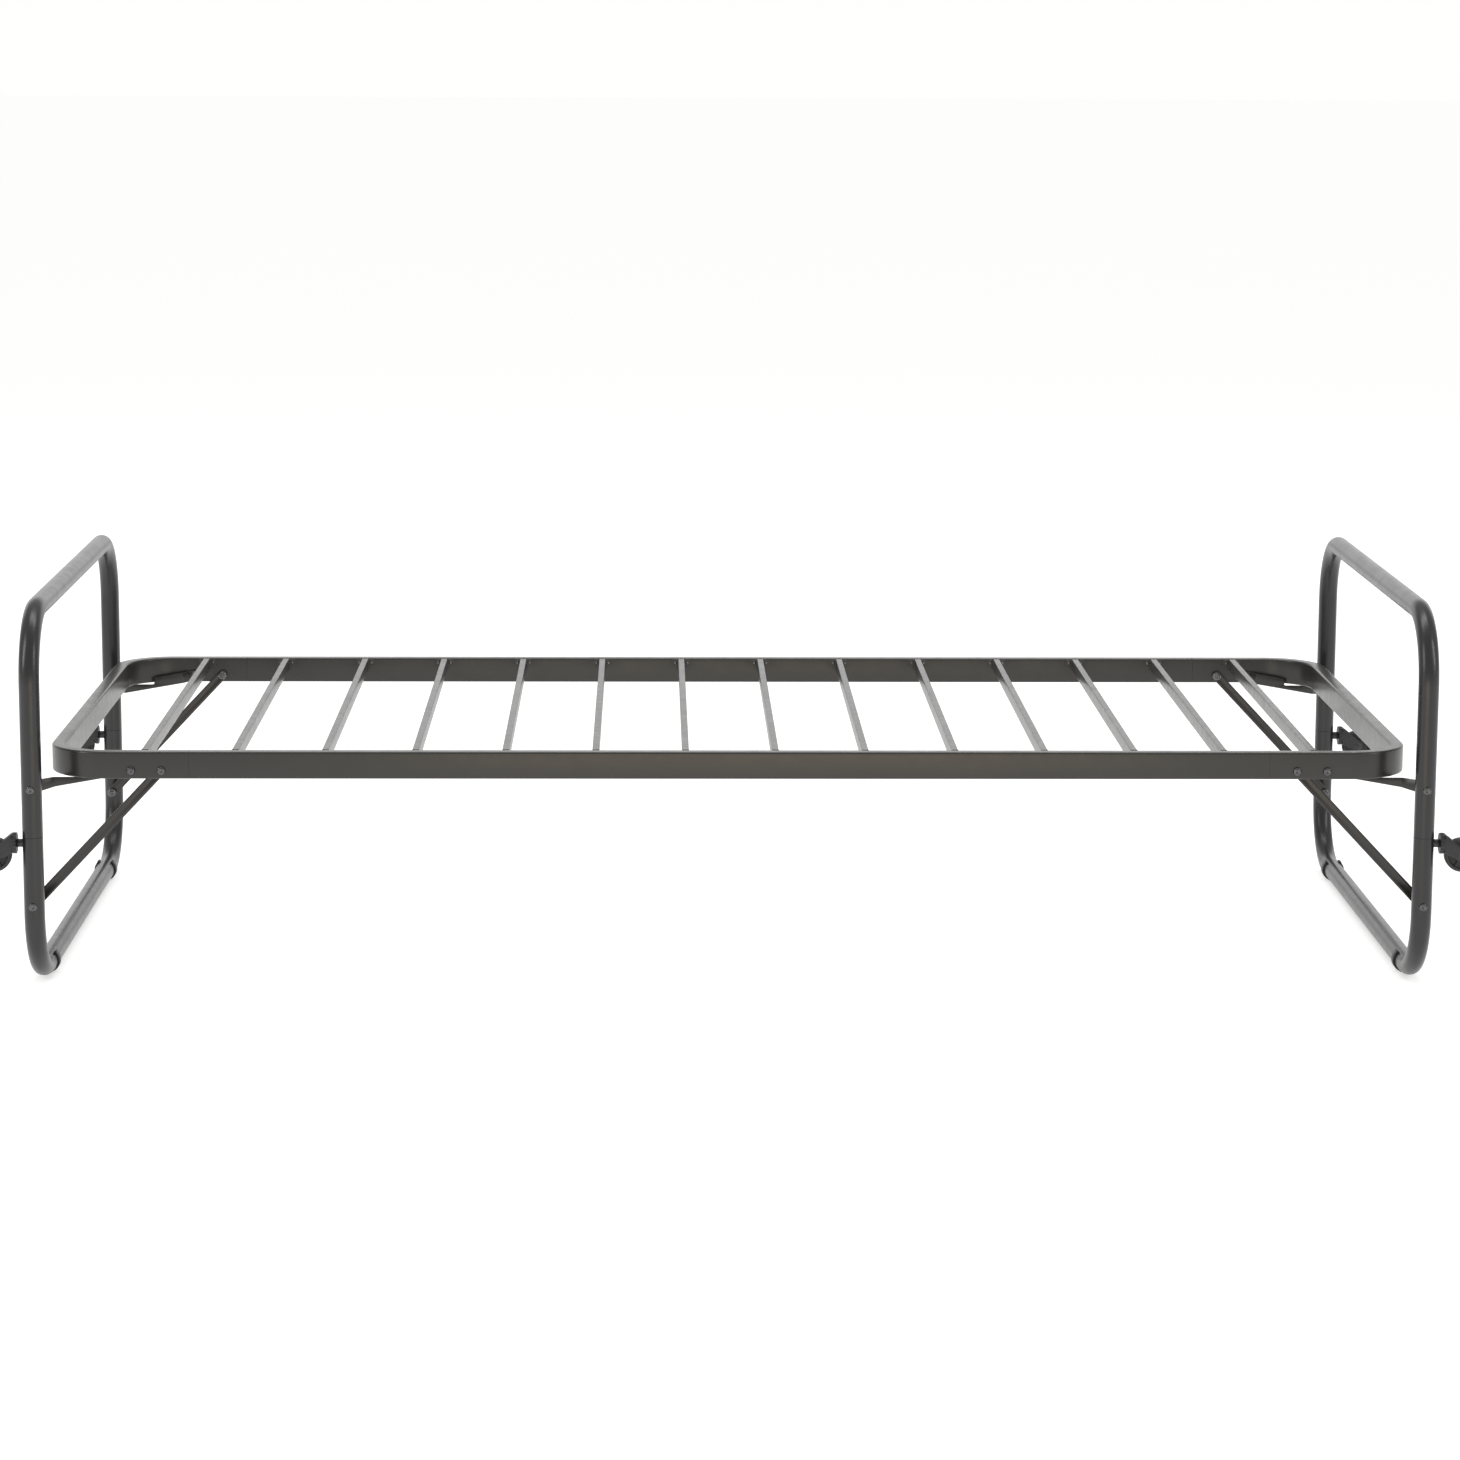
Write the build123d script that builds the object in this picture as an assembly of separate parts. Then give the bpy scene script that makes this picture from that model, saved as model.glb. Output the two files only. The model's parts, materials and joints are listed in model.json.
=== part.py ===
from build123d import *
import os
from math import asin, atan2, cos, degrees, hypot, pi, radians, sin, sqrt

# A folding single bed frame, standing open on its four feet.
# X runs along the bed, Y across it, Z up. The origin is on the floor, below the middle of the platform.
# All lengths are in millimetres.

# ---------------------------------------------------------------- driving dimensions

# platform rim: rectangular tube with rounded corners
PLATFORM_LENGTH = 2000.0
PLATFORM_WIDTH = 900.0
PLATFORM_TOP = 356.0
RIM_THICK = 20.0
RIM_HEIGHT = 40.0
RIM_WALL = 1.5
RIM_EDGE = 3.0
RIM_CORNER = 90.0
RIM_JOINT_X = 790.0
SPIGOT_LENGTH = 38.0
SPIGOT_GAP = 0.15
INNER_EDGE = 0.4
DRILL_OVERRUN = 1.0

# cross bars: narrow tube on edge, tops level with the rim
BAR_COUNT = 14
BAR_PITCH = 131.7
BAR_WIDTH = 10.0
BAR_HEIGHT = 20.0
BAR_WALL = 1.2
BAR_EDGE = 1.5
PLATE_THICK = 1.2
PLATE_WIDTH = 30.0
PLATE_HEIGHT = 14.0
PLATE_DROP = 2.0
RIVET_SPACING = 20.0
RIVET_DROP = 7.0
RIVET_SHANK = 3.2
RIVET_HEAD = 5.0
RIVET_HEAD_HEIGHT = 1.2
RIVET_TAIL_LENGTH = 2.5
RIVET_TAIL_GROWTH = 0.6

# end loops: round tube, two legs, a hoop above the mattress and a cross tube on the floor
TUBE_DIAMETER = 30.0
TUBE_WALL = 1.5
LOOP_X = 1018.5
LEG_Y = 455.0
LOOP_TOP = 571.0
LOOP_BEND = 100.0
FOOT_WALL = 3.0
CASTOR_Z = 222.0
SEAM_ABOVE_CASTOR = 9.0
SLEEVE_LENGTH = 90.0
SLEEVE_WALL = 1.5
SLEEVE_GAP = 0.1

# linkage pivots: link_rail and brace_rail sit in the rim, link_leg and brace_leg in the leg
LINK_RAIL_X = 874.5
RAIL_PIVOT_Z = 328.0
LINK_LEG_Z = 302.6
BRACE_LEG_Z = 128.8
FOLDED_LEG_Z = 293.0

# flat bars of the linkage
STRIP_THICK = 4.0
LINK_WIDTH = 17.0
BRACE_WIDTH = 15.0
FACE_GAP = 0.3
JOGGLE_IN_START = 10.0
JOGGLE_IN_END = 21.0
JOGGLE_OUT_START = 118.0
JOGGLE_OUT_END = 136.0
NOTCH_START_X = 943.0
NOTCH_TOP_GAP = 3.0
NOTCH_CORNER = 3.0

# bolts, nuts and bushes of the linkage
BOLT_DIAMETER = 8.0
PIVOT_CLEARANCE = 0.06
FIXED_HOLE_CLEARANCE = 0.15
HEAD_DIAMETER = 12.5
HEAD_HEIGHT = 4.2
HEAD_ROUND = 2.6
SOCKET_FLATS = 5.0
SOCKET_DEPTH = 2.4
SHANK_INTO_HEAD = 0.4
LINK_EYE_MARGIN = 1.0
NUT_FLATS = 13.0
NUT_HEIGHT = 4.4
NUT_CHAMFER = 0.7
BUSH_DIAMETER = 13.0

# clip-on feet
CLIP_Y = 330.0
CLIP_LENGTH = 14.0
CLIP_OPEN_ANGLE = 84.0
CLIP_FLAT = 12.0
CLIP_LIP = 2.2
CLIP_LIP_OUT = 0.4

# castors: swivel axis along X, wheel trailing below it
STEM_DIAMETER = 12.0
STEM_LENGTH = 8.0
STEM_PIN_DIAMETER = 8.0
HEAD_DISC_DIAMETER = 31.0
HEAD_DISC_LENGTH = 6.5
HEAD_RIB_COUNT = 16
HEAD_RIB_DEPTH = 1.0
HEAD_DISC_CHAMFER = 1.2
STEM_SEAT_DEPTH = 0.2
STEM_CORE_GROWTH = 0.9
STEM_COLLAR_LENGTH = 2.8
STEM_COLLAR_DEPTH = 6.0
STEM_CORE_DEPTH = 4.0
PIN_RIVET_GROWTH = 1.6
PIN_RIVET_LENGTH = 1.4
PIN_POCKET_GROWTH = 2.4
PIN_POCKET_DEPTH = 3.0
WHEEL_DIAMETER = 50.0
WHEEL_WIDTH = 18.0
WHEEL_OUT = 41.0
WHEEL_TRAIL = 17.0
WHEEL_WELL = 1.6
ARM_BOSS_RADIUS = 8.5
ARM_TOP = 13.0
ARM_BOTTOM = 14.0
ARM_ROOT = 2.5
CHEEK_THICK = 3.0
CHEEK_GAP = 0.7
AXLE_DIAMETER = 8.0
AXLE_CAP_GROWTH = 1.5
AXLE_CAP_LENGTH = 1.2
HUB_DIAMETER = 22.0
WHEEL_WEB = 8.0
TREAD_ROUND = 4.0
RIM_DEPTH = 5.0

# ---------------------------------------------------------------- values that follow from them

HALF_LENGTH = PLATFORM_LENGTH / 2
HALF_WIDTH = PLATFORM_WIDTH / 2
RIM_BOTTOM = PLATFORM_TOP - RIM_HEIGHT
RIM_MID_Z = PLATFORM_TOP - RIM_HEIGHT / 2
RIM_LINE_X = HALF_LENGTH - RIM_THICK / 2
RIM_LINE_Y = HALF_WIDTH - RIM_THICK / 2
RIM_LINE_BEND = RIM_CORNER - RIM_THICK / 2
RIM_INNER_Y = HALF_WIDTH - RIM_THICK

TUBE_RADIUS = TUBE_DIAMETER / 2
LOOP_TOP_Z = LOOP_TOP - TUBE_RADIUS
LOOP_FOOT_Z = TUBE_RADIUS + FOOT_WALL
SEAM_Z = CASTOR_Z + SEAM_ABOVE_CASTOR
LEG_INNER_Y = LEG_Y - TUBE_RADIUS
LEG_OUTER_Y = LEG_Y + TUBE_RADIUS

# The brace's rail pivot is where the linkage closes both when the leg stands and when it lies folded.
LINK_LENGTH = hypot(LOOP_X - LINK_RAIL_X, RAIL_PIVOT_Z - LINK_LEG_Z)
LINK_REST_ANGLE = degrees(atan2(RAIL_PIVOT_Z - LINK_LEG_Z, LOOP_X - LINK_RAIL_X))
LINK_FOLDED_ANGLE = degrees(asin((RAIL_PIVOT_Z - FOLDED_LEG_Z) / LINK_LENGTH))
FOLDED_LINK_LEG_X = LINK_RAIL_X - LINK_LENGTH * cos(radians(LINK_FOLDED_ANGLE))
FOLDED_BRACE_LEG_X = FOLDED_LINK_LEG_X - (LINK_LEG_Z - BRACE_LEG_Z)
STANDING_DROP = RAIL_PIVOT_Z - BRACE_LEG_Z
FOLDED_DROP = RAIL_PIVOT_Z - FOLDED_LEG_Z
BRACE_RAIL_X = (
    LOOP_X**2 - FOLDED_BRACE_LEG_X**2 + STANDING_DROP**2 - FOLDED_DROP**2
) / (2 * (LOOP_X - FOLDED_BRACE_LEG_X))
BRACE_REST_ANGLE = degrees(atan2(STANDING_DROP, LOOP_X - BRACE_RAIL_X))
BRACE_FOLDED_ANGLE = degrees(atan2(FOLDED_DROP, BRACE_RAIL_X - FOLDED_BRACE_LEG_X))
BRACE_LENGTH = hypot(LOOP_X - BRACE_RAIL_X, STANDING_DROP)
LINK_SWING = 180 - LINK_REST_ANGLE - LINK_FOLDED_ANGLE
BRACE_SWING = 180 - BRACE_REST_ANGLE - BRACE_FOLDED_ANGLE

# Layers across the bed, from the rim's inner face towards the middle of the bed.
STRIP_OUTER_Y = RIM_INNER_Y - FACE_GAP
STRIP_INNER_Y = STRIP_OUTER_Y - STRIP_THICK
NUT_OUTER_Y = STRIP_INNER_Y - FACE_GAP
NUT_INNER_Y = NUT_OUTER_Y - NUT_HEIGHT
LINK_RUN_OUTER_Y = NUT_INNER_Y - FACE_GAP
LINK_LEG_OUTER_Y = LEG_INNER_Y - FACE_GAP
LINK_NUT_OUTER_Y = LINK_LEG_OUTER_Y - STRIP_THICK - FACE_GAP

CASTOR_FACE_X = LOOP_X + TUBE_RADIUS
WHEEL_X = CASTOR_FACE_X + WHEEL_OUT
WHEEL_Z = CASTOR_Z - WHEEL_TRAIL

ENDS = {"left": -1, "right": 1}
SIDES = {"front": -1, "back": 1}


# ---------------------------------------------------------------- helpers


def rod(start, end, radius):
    """A round bar between two points."""
    axis = Vector(*end) - Vector(*start)
    plane = Plane(origin=start, z_dir=axis)
    return extrude(plane * Circle(radius), axis.length)


def across(x, z, y_from, y_to, radius):
    """A round bar along Y."""
    return rod((x, y_from, z), (x, y_to, z), radius)


def looking_along(origin, x_dir, z_dir):
    return Plane(origin=origin, x_dir=x_dir, z_dir=z_dir)


def mirrored(solid, end, side):
    """A piece made at the right end and the back side, moved to its own corner."""
    if end < 0:
        solid = mirror(solid, Plane.YZ)
    if side < 0:
        solid = mirror(solid, Plane.XZ)
    return solid


def rounded_tube_section(width, height, wall, edge):
    """The hollow section of a rectangular tube with rounded edges."""
    outer = RectangleRounded(width, height, edge)
    inner = RectangleRounded(width - 2 * wall, height - 2 * wall, max(edge - wall, INNER_EDGE))
    return outer - inner


def hexagon(flats):
    return RegularPolygon(flats / sqrt(3), 6)


def save(node, *solids):
    """Write the solids of one node to its own STEP file."""
    flat = []
    for solid in solids:
        flat.extend(solid.solids())
    shape = flat[0] if len(flat) == 1 else Compound(children=flat)
    shape.label = node
    export_step(shape, f"parts/{node}.step")


# ---------------------------------------------------------------- platform


def side_rail(side):
    """A straight side rail between the two end bows."""
    section = rounded_tube_section(RIM_THICK, RIM_HEIGHT, RIM_WALL, RIM_EDGE)
    plane = looking_along((-RIM_JOINT_X, side * RIM_LINE_Y, RIM_MID_Z), (0, 1, 0), (1, 0, 0))
    rail = extrude(plane * section, 2 * RIM_JOINT_X)
    return rail - rivet_holes(side)


def rivet_holes(side):
    holes = Part()
    for x in bar_positions():
        for offset in (-RIVET_SPACING / 2, RIVET_SPACING / 2):
            if abs(x + offset) < RIM_JOINT_X:
                holes += rivet_hole(x + offset, side)
    return holes


def rivet_hole(x, side):
    z = PLATFORM_TOP - RIVET_DROP
    start_y = RIM_INNER_Y - DRILL_OVERRUN
    end_y = RIM_INNER_Y + RIM_WALL + DRILL_OVERRUN
    return across(x, z, side * start_y, side * end_y, RIVET_SHANK / 2)


def bow_path(start_x):
    """The middle line of an end bow at the right end, from one side rail round to the other."""
    tangent_x = RIM_LINE_X - RIM_LINE_BEND
    tangent_y = RIM_LINE_Y - RIM_LINE_BEND
    mid = RIM_LINE_BEND * cos(radians(45))
    first = Line((start_x, -RIM_LINE_Y, RIM_MID_Z), (tangent_x, -RIM_LINE_Y, RIM_MID_Z))
    corner_a = (tangent_x + mid, -tangent_y - mid, RIM_MID_Z)
    bend_a = ThreePointArc(first @ 1, corner_a, (RIM_LINE_X, -tangent_y, RIM_MID_Z))
    cross = Line(bend_a @ 1, (RIM_LINE_X, tangent_y, RIM_MID_Z))
    corner_b = (tangent_x + mid, tangent_y + mid, RIM_MID_Z)
    bend_b = ThreePointArc(cross @ 1, corner_b, (tangent_x, RIM_LINE_Y, RIM_MID_Z))
    last = Line(bend_b @ 1, (start_x, RIM_LINE_Y, RIM_MID_Z))
    return Wire([first, bend_a, cross, bend_b, last])


def spigot(side):
    """The reduced end of a bow that slides into the side rail."""
    shrink = 2 * (RIM_WALL + SPIGOT_GAP)
    width = RIM_THICK - shrink
    height = RIM_HEIGHT - shrink
    section = rounded_tube_section(width, height, RIM_WALL, RIM_EDGE - RIM_WALL)
    start = (RIM_JOINT_X - SPIGOT_LENGTH, side * RIM_LINE_Y, RIM_MID_Z)
    reduced = extrude(looking_along(start, (0, 1, 0), (1, 0, 0)) * section, SPIGOT_LENGTH + RIM_WALL)
    bore = RectangleRounded(width - 2 * RIM_WALL, height - 2 * RIM_WALL, INNER_EDGE)
    collar = RectangleRounded(RIM_THICK - RIM_WALL, RIM_HEIGHT - RIM_WALL, RIM_EDGE - RIM_WALL / 2) - bore
    seat = (RIM_JOINT_X, side * RIM_LINE_Y, RIM_MID_Z)
    return reduced + extrude(looking_along(seat, (0, 1, 0), (1, 0, 0)) * collar, RIM_WALL)


def end_bow(end):
    """An end rail with both rounded corners, drilled for the pivot bolts."""
    section = rounded_tube_section(RIM_THICK, RIM_HEIGHT, RIM_WALL, RIM_EDGE)
    plane = looking_along((RIM_JOINT_X, -RIM_LINE_Y, RIM_MID_Z), (0, 1, 0), (1, 0, 0))
    bow = sweep(plane * section, path=bow_path(RIM_JOINT_X))
    hole = BOLT_DIAMETER / 2 + FIXED_HOLE_CLEARANCE
    start_y = RIM_INNER_Y - DRILL_OVERRUN
    end_y = HALF_WIDTH + DRILL_OVERRUN
    for side in SIDES.values():
        bow += spigot(side)
        for x in (LINK_RAIL_X, BRACE_RAIL_X):
            bow -= across(x, RAIL_PIVOT_Z, side * start_y, side * end_y, hole)
        for x in bar_positions():
            for offset in (-RIVET_SPACING / 2, RIVET_SPACING / 2):
                if x + offset > RIM_JOINT_X:
                    bow -= rivet_hole(x + offset, side)
    return mirrored(bow, end, 1)


def bar_positions():
    """Middle of each cross bar along the bed."""
    first = -BAR_PITCH * (BAR_COUNT - 1) / 2
    return [first + BAR_PITCH * n for n in range(BAR_COUNT)]


def cross_bar(x):
    length = 2 * (RIM_INNER_Y - PLATE_THICK)
    section = rounded_tube_section(BAR_WIDTH, BAR_HEIGHT, BAR_WALL, BAR_EDGE)
    origin = (x, -length / 2, PLATFORM_TOP - BAR_HEIGHT / 2)
    return extrude(looking_along(origin, (1, 0, 0), (0, 1, 0)) * section, length)


def bar_end_plate(x, side):
    """The small plate that is welded to a bar's end and riveted to the rim."""
    z = PLATFORM_TOP - PLATE_DROP - PLATE_HEIGHT / 2
    outline = RectangleRounded(PLATE_WIDTH, PLATE_HEIGHT, PLATE_DROP)
    origin = (x, side * RIM_INNER_Y, z)
    plate = extrude(looking_along(origin, (1, 0, 0), (0, -side, 0)) * outline, PLATE_THICK)
    start_y = RIM_INNER_Y - PLATE_THICK - DRILL_OVERRUN
    hole_z = PLATFORM_TOP - RIVET_DROP
    for offset in (-RIVET_SPACING / 2, RIVET_SPACING / 2):
        plate -= across(x + offset, hole_z, side * start_y, side * LEG_Y, RIVET_SHANK / 2)
    return plate


def rivet(x, side):
    """A blind rivet: domed head inside the bed, short tail inside the rim."""
    z = PLATFORM_TOP - RIVET_DROP
    face = RIM_INNER_Y - PLATE_THICK
    inside = RIM_INNER_Y + RIM_WALL
    shank = across(x, z, side * face, side * inside, RIVET_SHANK / 2)
    tail_radius = RIVET_SHANK / 2 + RIVET_TAIL_GROWTH
    tail = across(x, z, side * inside, side * (inside + RIVET_TAIL_LENGTH), tail_radius)
    head = across(x, z, side * (face - RIVET_HEAD_HEIGHT), side * face, RIVET_HEAD / 2)
    rim_edges = head.edges().group_by(Axis.Y)[0 if side > 0 else -1]
    head = fillet(rim_edges, RIVET_HEAD_HEIGHT * 0.8)
    return head + shank + tail


# ---------------------------------------------------------------- fasteners, made at the back side


def button_head(x, z, face_y):
    """A round screw head with a hexagon socket, standing out of a face that looks along +Y."""
    head = across(x, z, face_y, face_y + HEAD_HEIGHT, HEAD_DIAMETER / 2)
    head = fillet(head.edges().group_by(Axis.Y)[-1], HEAD_ROUND)
    plane = looking_along((x, face_y + HEAD_HEIGHT - SOCKET_DEPTH, z), (1, 0, 0), (0, 1, 0))
    return head - extrude(plane * hexagon(SOCKET_FLATS), SOCKET_DEPTH + DRILL_OVERRUN)


def lock_nut(x, z, outer_y):
    """A hexagon nut whose outer face looks at the strip it holds."""
    plane = looking_along((x, outer_y - NUT_HEIGHT, z), (1, 0, 0), (0, 1, 0))
    nut = extrude(plane * hexagon(NUT_FLATS), NUT_HEIGHT)
    cone = across(x, z, outer_y - NUT_HEIGHT, outer_y, NUT_FLATS / sqrt(3))
    nut = nut & chamfer(cone.edges().group_by(Axis.Y)[0], NUT_CHAMFER)
    start_y = outer_y - NUT_HEIGHT - DRILL_OVERRUN
    return nut - across(x, z, start_y, outer_y + DRILL_OVERRUN, BOLT_DIAMETER / 2)


def rail_bolt(x):
    """A bolt through both walls of the rim and the strip that turns on it."""
    head = button_head(x, RAIL_PIVOT_Z, HALF_WIDTH)
    return head + across(x, RAIL_PIVOT_Z, NUT_INNER_Y, HALF_WIDTH, BOLT_DIAMETER / 2)


def leg_bolt(z, inner_y):
    """A bolt through the leg; its head is seated on the round of the tube."""
    seat_y = LEG_Y + sqrt(TUBE_RADIUS**2 - (HEAD_DIAMETER / 2) ** 2)
    head = button_head(LOOP_X, z, seat_y)
    head -= Pos(LOOP_X, LEG_Y, z) * Cylinder(TUBE_RADIUS, HEAD_DIAMETER * 2)
    return head + across(LOOP_X, z, inner_y, LEG_OUTER_Y + SHANK_INTO_HEAD, BOLT_DIAMETER / 2)


def brace_bush():
    """The spacer between the leg and the brace, cut to sit on the round of the tube."""
    start_y = STRIP_OUTER_Y + FACE_GAP
    bush = across(LOOP_X, BRACE_LEG_Z, start_y, LEG_Y, BUSH_DIAMETER / 2)
    bush -= Pos(LOOP_X, LEG_Y, BRACE_LEG_Z) * Cylinder(TUBE_RADIUS, BUSH_DIAMETER * 2)
    return bush - across(LOOP_X, BRACE_LEG_Z, start_y - DRILL_OVERRUN, LEG_Y, BOLT_DIAMETER / 2)


# ---------------------------------------------------------------- linkage strips, made at the back right


def flat_strip(start, end, width):
    """The outline of a flat bar with round ends, in the XZ plane."""
    length = hypot(end[0] - start[0], end[1] - start[1])
    angle = degrees(atan2(end[1] - start[1], end[0] - start[0]))
    middle = ((start[0] + end[0]) / 2, (start[1] + end[1]) / 2)
    return Pos(*middle) * Rot(0, 0, angle) * SlotCenterToCenter(length, width)


def upright(sketch, y):
    """Stand a sketch up in the XZ plane at a place across the bed; it extrudes towards -Y."""
    return looking_along((0, y, 0), (1, 0, 0), (0, -1, 0)) * sketch


def joggled_band():
    """The bent strip as a band: flush at the rim, joggled inwards, then outwards to the leg.
    It is wide enough in height to be cut to the link's outline."""
    eye = LINK_WIDTH / 2 + LINK_EYE_MARGIN
    outer = [
        (-eye, STRIP_OUTER_Y),
        (JOGGLE_IN_START, STRIP_OUTER_Y),
        (JOGGLE_IN_END, LINK_RUN_OUTER_Y),
        (JOGGLE_OUT_START, LINK_RUN_OUTER_Y),
        (JOGGLE_OUT_END, LINK_LEG_OUTER_Y),
        (LINK_LENGTH + eye, LINK_LEG_OUTER_Y),
    ]
    middle = Polyline(*[(x, y - STRIP_THICK / 2) for x, y in outer])
    band = extrude(trace(middle, STRIP_THICK), LINK_WIDTH * 2, both=True)
    return Pos(LINK_RAIL_X, 0, RAIL_PIVOT_Z) * Rot(0, LINK_REST_ANGLE, 0) * band


def upper_link():
    outline = flat_strip((LINK_RAIL_X, RAIL_PIVOT_Z), (LOOP_X, LINK_LEG_Z), LINK_WIDTH)
    notch_top = RIM_BOTTOM - NOTCH_TOP_GAP
    notch_length = LOOP_X + LINK_WIDTH - NOTCH_START_X
    notch_middle = (NOTCH_START_X + notch_length / 2, notch_top + LINK_WIDTH / 2)
    outline -= Pos(*notch_middle) * RectangleRounded(notch_length, LINK_WIDTH, NOTCH_CORNER)
    blank = extrude(upright(outline, LEG_Y), LEG_Y - LINK_RUN_OUTER_Y + 2 * STRIP_THICK)
    link = blank & joggled_band()
    bore = BOLT_DIAMETER / 2 + PIVOT_CLEARANCE
    start_y = LINK_RUN_OUTER_Y - STRIP_THICK - DRILL_OVERRUN
    link -= across(LINK_RAIL_X, RAIL_PIVOT_Z, start_y, LEG_Y, bore)
    link -= across(LOOP_X, LINK_LEG_Z, start_y, LEG_Y, bore)
    return link


def diagonal_brace():
    outline = flat_strip((BRACE_RAIL_X, RAIL_PIVOT_Z), (LOOP_X, BRACE_LEG_Z), BRACE_WIDTH)
    brace = extrude(upright(outline, STRIP_OUTER_Y), STRIP_THICK)
    bore = BOLT_DIAMETER / 2 + PIVOT_CLEARANCE
    start_y = STRIP_INNER_Y - DRILL_OVERRUN
    end_y = STRIP_OUTER_Y + DRILL_OVERRUN
    brace -= across(BRACE_RAIL_X, RAIL_PIVOT_Z, start_y, end_y, bore)
    return brace - across(LOOP_X, BRACE_LEG_Z, start_y, end_y, bore)


def brace_stud():
    """The brace's own stud and lock nut at the leg; the leg's bolt ends at its bush."""
    stud = across(LOOP_X, BRACE_LEG_Z, NUT_INNER_Y, STRIP_OUTER_Y, BOLT_DIAMETER / 2)
    nut = lock_nut(LOOP_X, BRACE_LEG_Z, STRIP_INNER_Y)
    return nut + stud


# ---------------------------------------------------------------- end loops, made at the right end


def hoop_path(leg_end_z, cross_z):
    """Half a loop: up or down one leg, round both bends and back along the other leg."""
    turn = LOOP_BEND if cross_z > leg_end_z else -LOOP_BEND
    bend_z = cross_z - turn
    bend_y = LEG_Y - LOOP_BEND
    mid_y = bend_y + LOOP_BEND * cos(radians(45))
    mid_z = bend_z + turn * sin(radians(45))
    first = Line((LOOP_X, -LEG_Y, leg_end_z), (LOOP_X, -LEG_Y, bend_z))
    bend_a = ThreePointArc(first @ 1, (LOOP_X, -mid_y, mid_z), (LOOP_X, -bend_y, cross_z))
    cross = Line(bend_a @ 1, (LOOP_X, bend_y, cross_z))
    bend_b = ThreePointArc(cross @ 1, (LOOP_X, mid_y, mid_z), (LOOP_X, LEG_Y, bend_z))
    last = Line(bend_b @ 1, (LOOP_X, LEG_Y, leg_end_z))
    return Wire([first, bend_a, cross, bend_b, last])


def hoop(leg_end_z, cross_z):
    ring = Circle(TUBE_RADIUS) - Circle(TUBE_RADIUS - TUBE_WALL)
    direction = 1 if cross_z > leg_end_z else -1
    plane = looking_along((LOOP_X, -LEG_Y, leg_end_z), (1, 0, 0), (0, 0, direction))
    return sweep(plane * ring, path=hoop_path(leg_end_z, cross_z))


def leg_hole(z, side):
    radius = BOLT_DIAMETER / 2 + FIXED_HOLE_CLEARANCE
    start_y = LEG_INNER_Y - DRILL_OVERRUN
    return across(LOOP_X, z, side * start_y, side * (LEG_OUTER_Y + DRILL_OVERRUN), radius)


def upper_hoop():
    tube = hoop(SEAM_Z, LOOP_TOP_Z)
    for side in SIDES.values():
        tube -= leg_hole(LINK_LEG_Z, side)
    return tube


def lower_hoop():
    tube = hoop(SEAM_Z, LOOP_FOOT_Z)
    for side in SIDES.values():
        tube -= leg_hole(BRACE_LEG_Z, side)
        tube -= stem_hole(side)
    return tube


def stem_hole(side):
    start = (LOOP_X, side * LEG_Y, CASTOR_Z)
    end = (CASTOR_FACE_X + DRILL_OVERRUN, side * LEG_Y, CASTOR_Z)
    return rod(start, end, STEM_PIN_DIAMETER / 2 + STEM_CORE_GROWTH)


def sleeve(side):
    """The inner tube that joins upper and lower hoop inside a leg."""
    outer = TUBE_RADIUS - TUBE_WALL - SLEEVE_GAP
    ring = Circle(outer) - Circle(outer - SLEEVE_WALL)
    base = Plane(origin=(LOOP_X, side * LEG_Y, SEAM_Z - SLEEVE_LENGTH / 2))
    tube = extrude(base * ring, SLEEVE_LENGTH)
    return tube - stem_hole(side)


def foot_clip(side):
    """A springy plastic ring, open at the top, with a small flat to stand on."""
    outer = TUBE_RADIUS + FOOT_WALL
    ring = Circle(outer) - Circle(TUBE_RADIUS)
    half_gap = radians(CLIP_OPEN_ANGLE / 2)
    reach = 2 * outer
    mouth_x = reach * sin(half_gap)
    mouth_z = reach * cos(half_gap)
    ring -= Polygon((0, 0), (-mouth_x, mouth_z), (mouth_x, mouth_z), align=None)
    lip_line = TUBE_RADIUS + FOOT_WALL / 2 + CLIP_LIP_OUT
    for turn in (-1, 1):
        lip = Pos(turn * lip_line * sin(half_gap), lip_line * cos(half_gap)) * Circle(CLIP_LIP)
        ring += lip - Circle(TUBE_RADIUS)
    sole = Pos(0, -outer + FOOT_WALL / 2) * Rectangle(CLIP_FLAT, FOOT_WALL) - Circle(TUBE_RADIUS)
    ring += sole
    origin = (LOOP_X, side * CLIP_Y + CLIP_LENGTH / 2, LOOP_FOOT_Z)
    return extrude(looking_along(origin, (1, 0, 0), (0, -1, 0)) * ring, CLIP_LENGTH)


# ---------------------------------------------------------------- castors, made at the back right


def along_x(x_from, x_to, z, radius):
    return rod((x_from, LEG_Y, z), (x_to, LEG_Y, z), radius)


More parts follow.
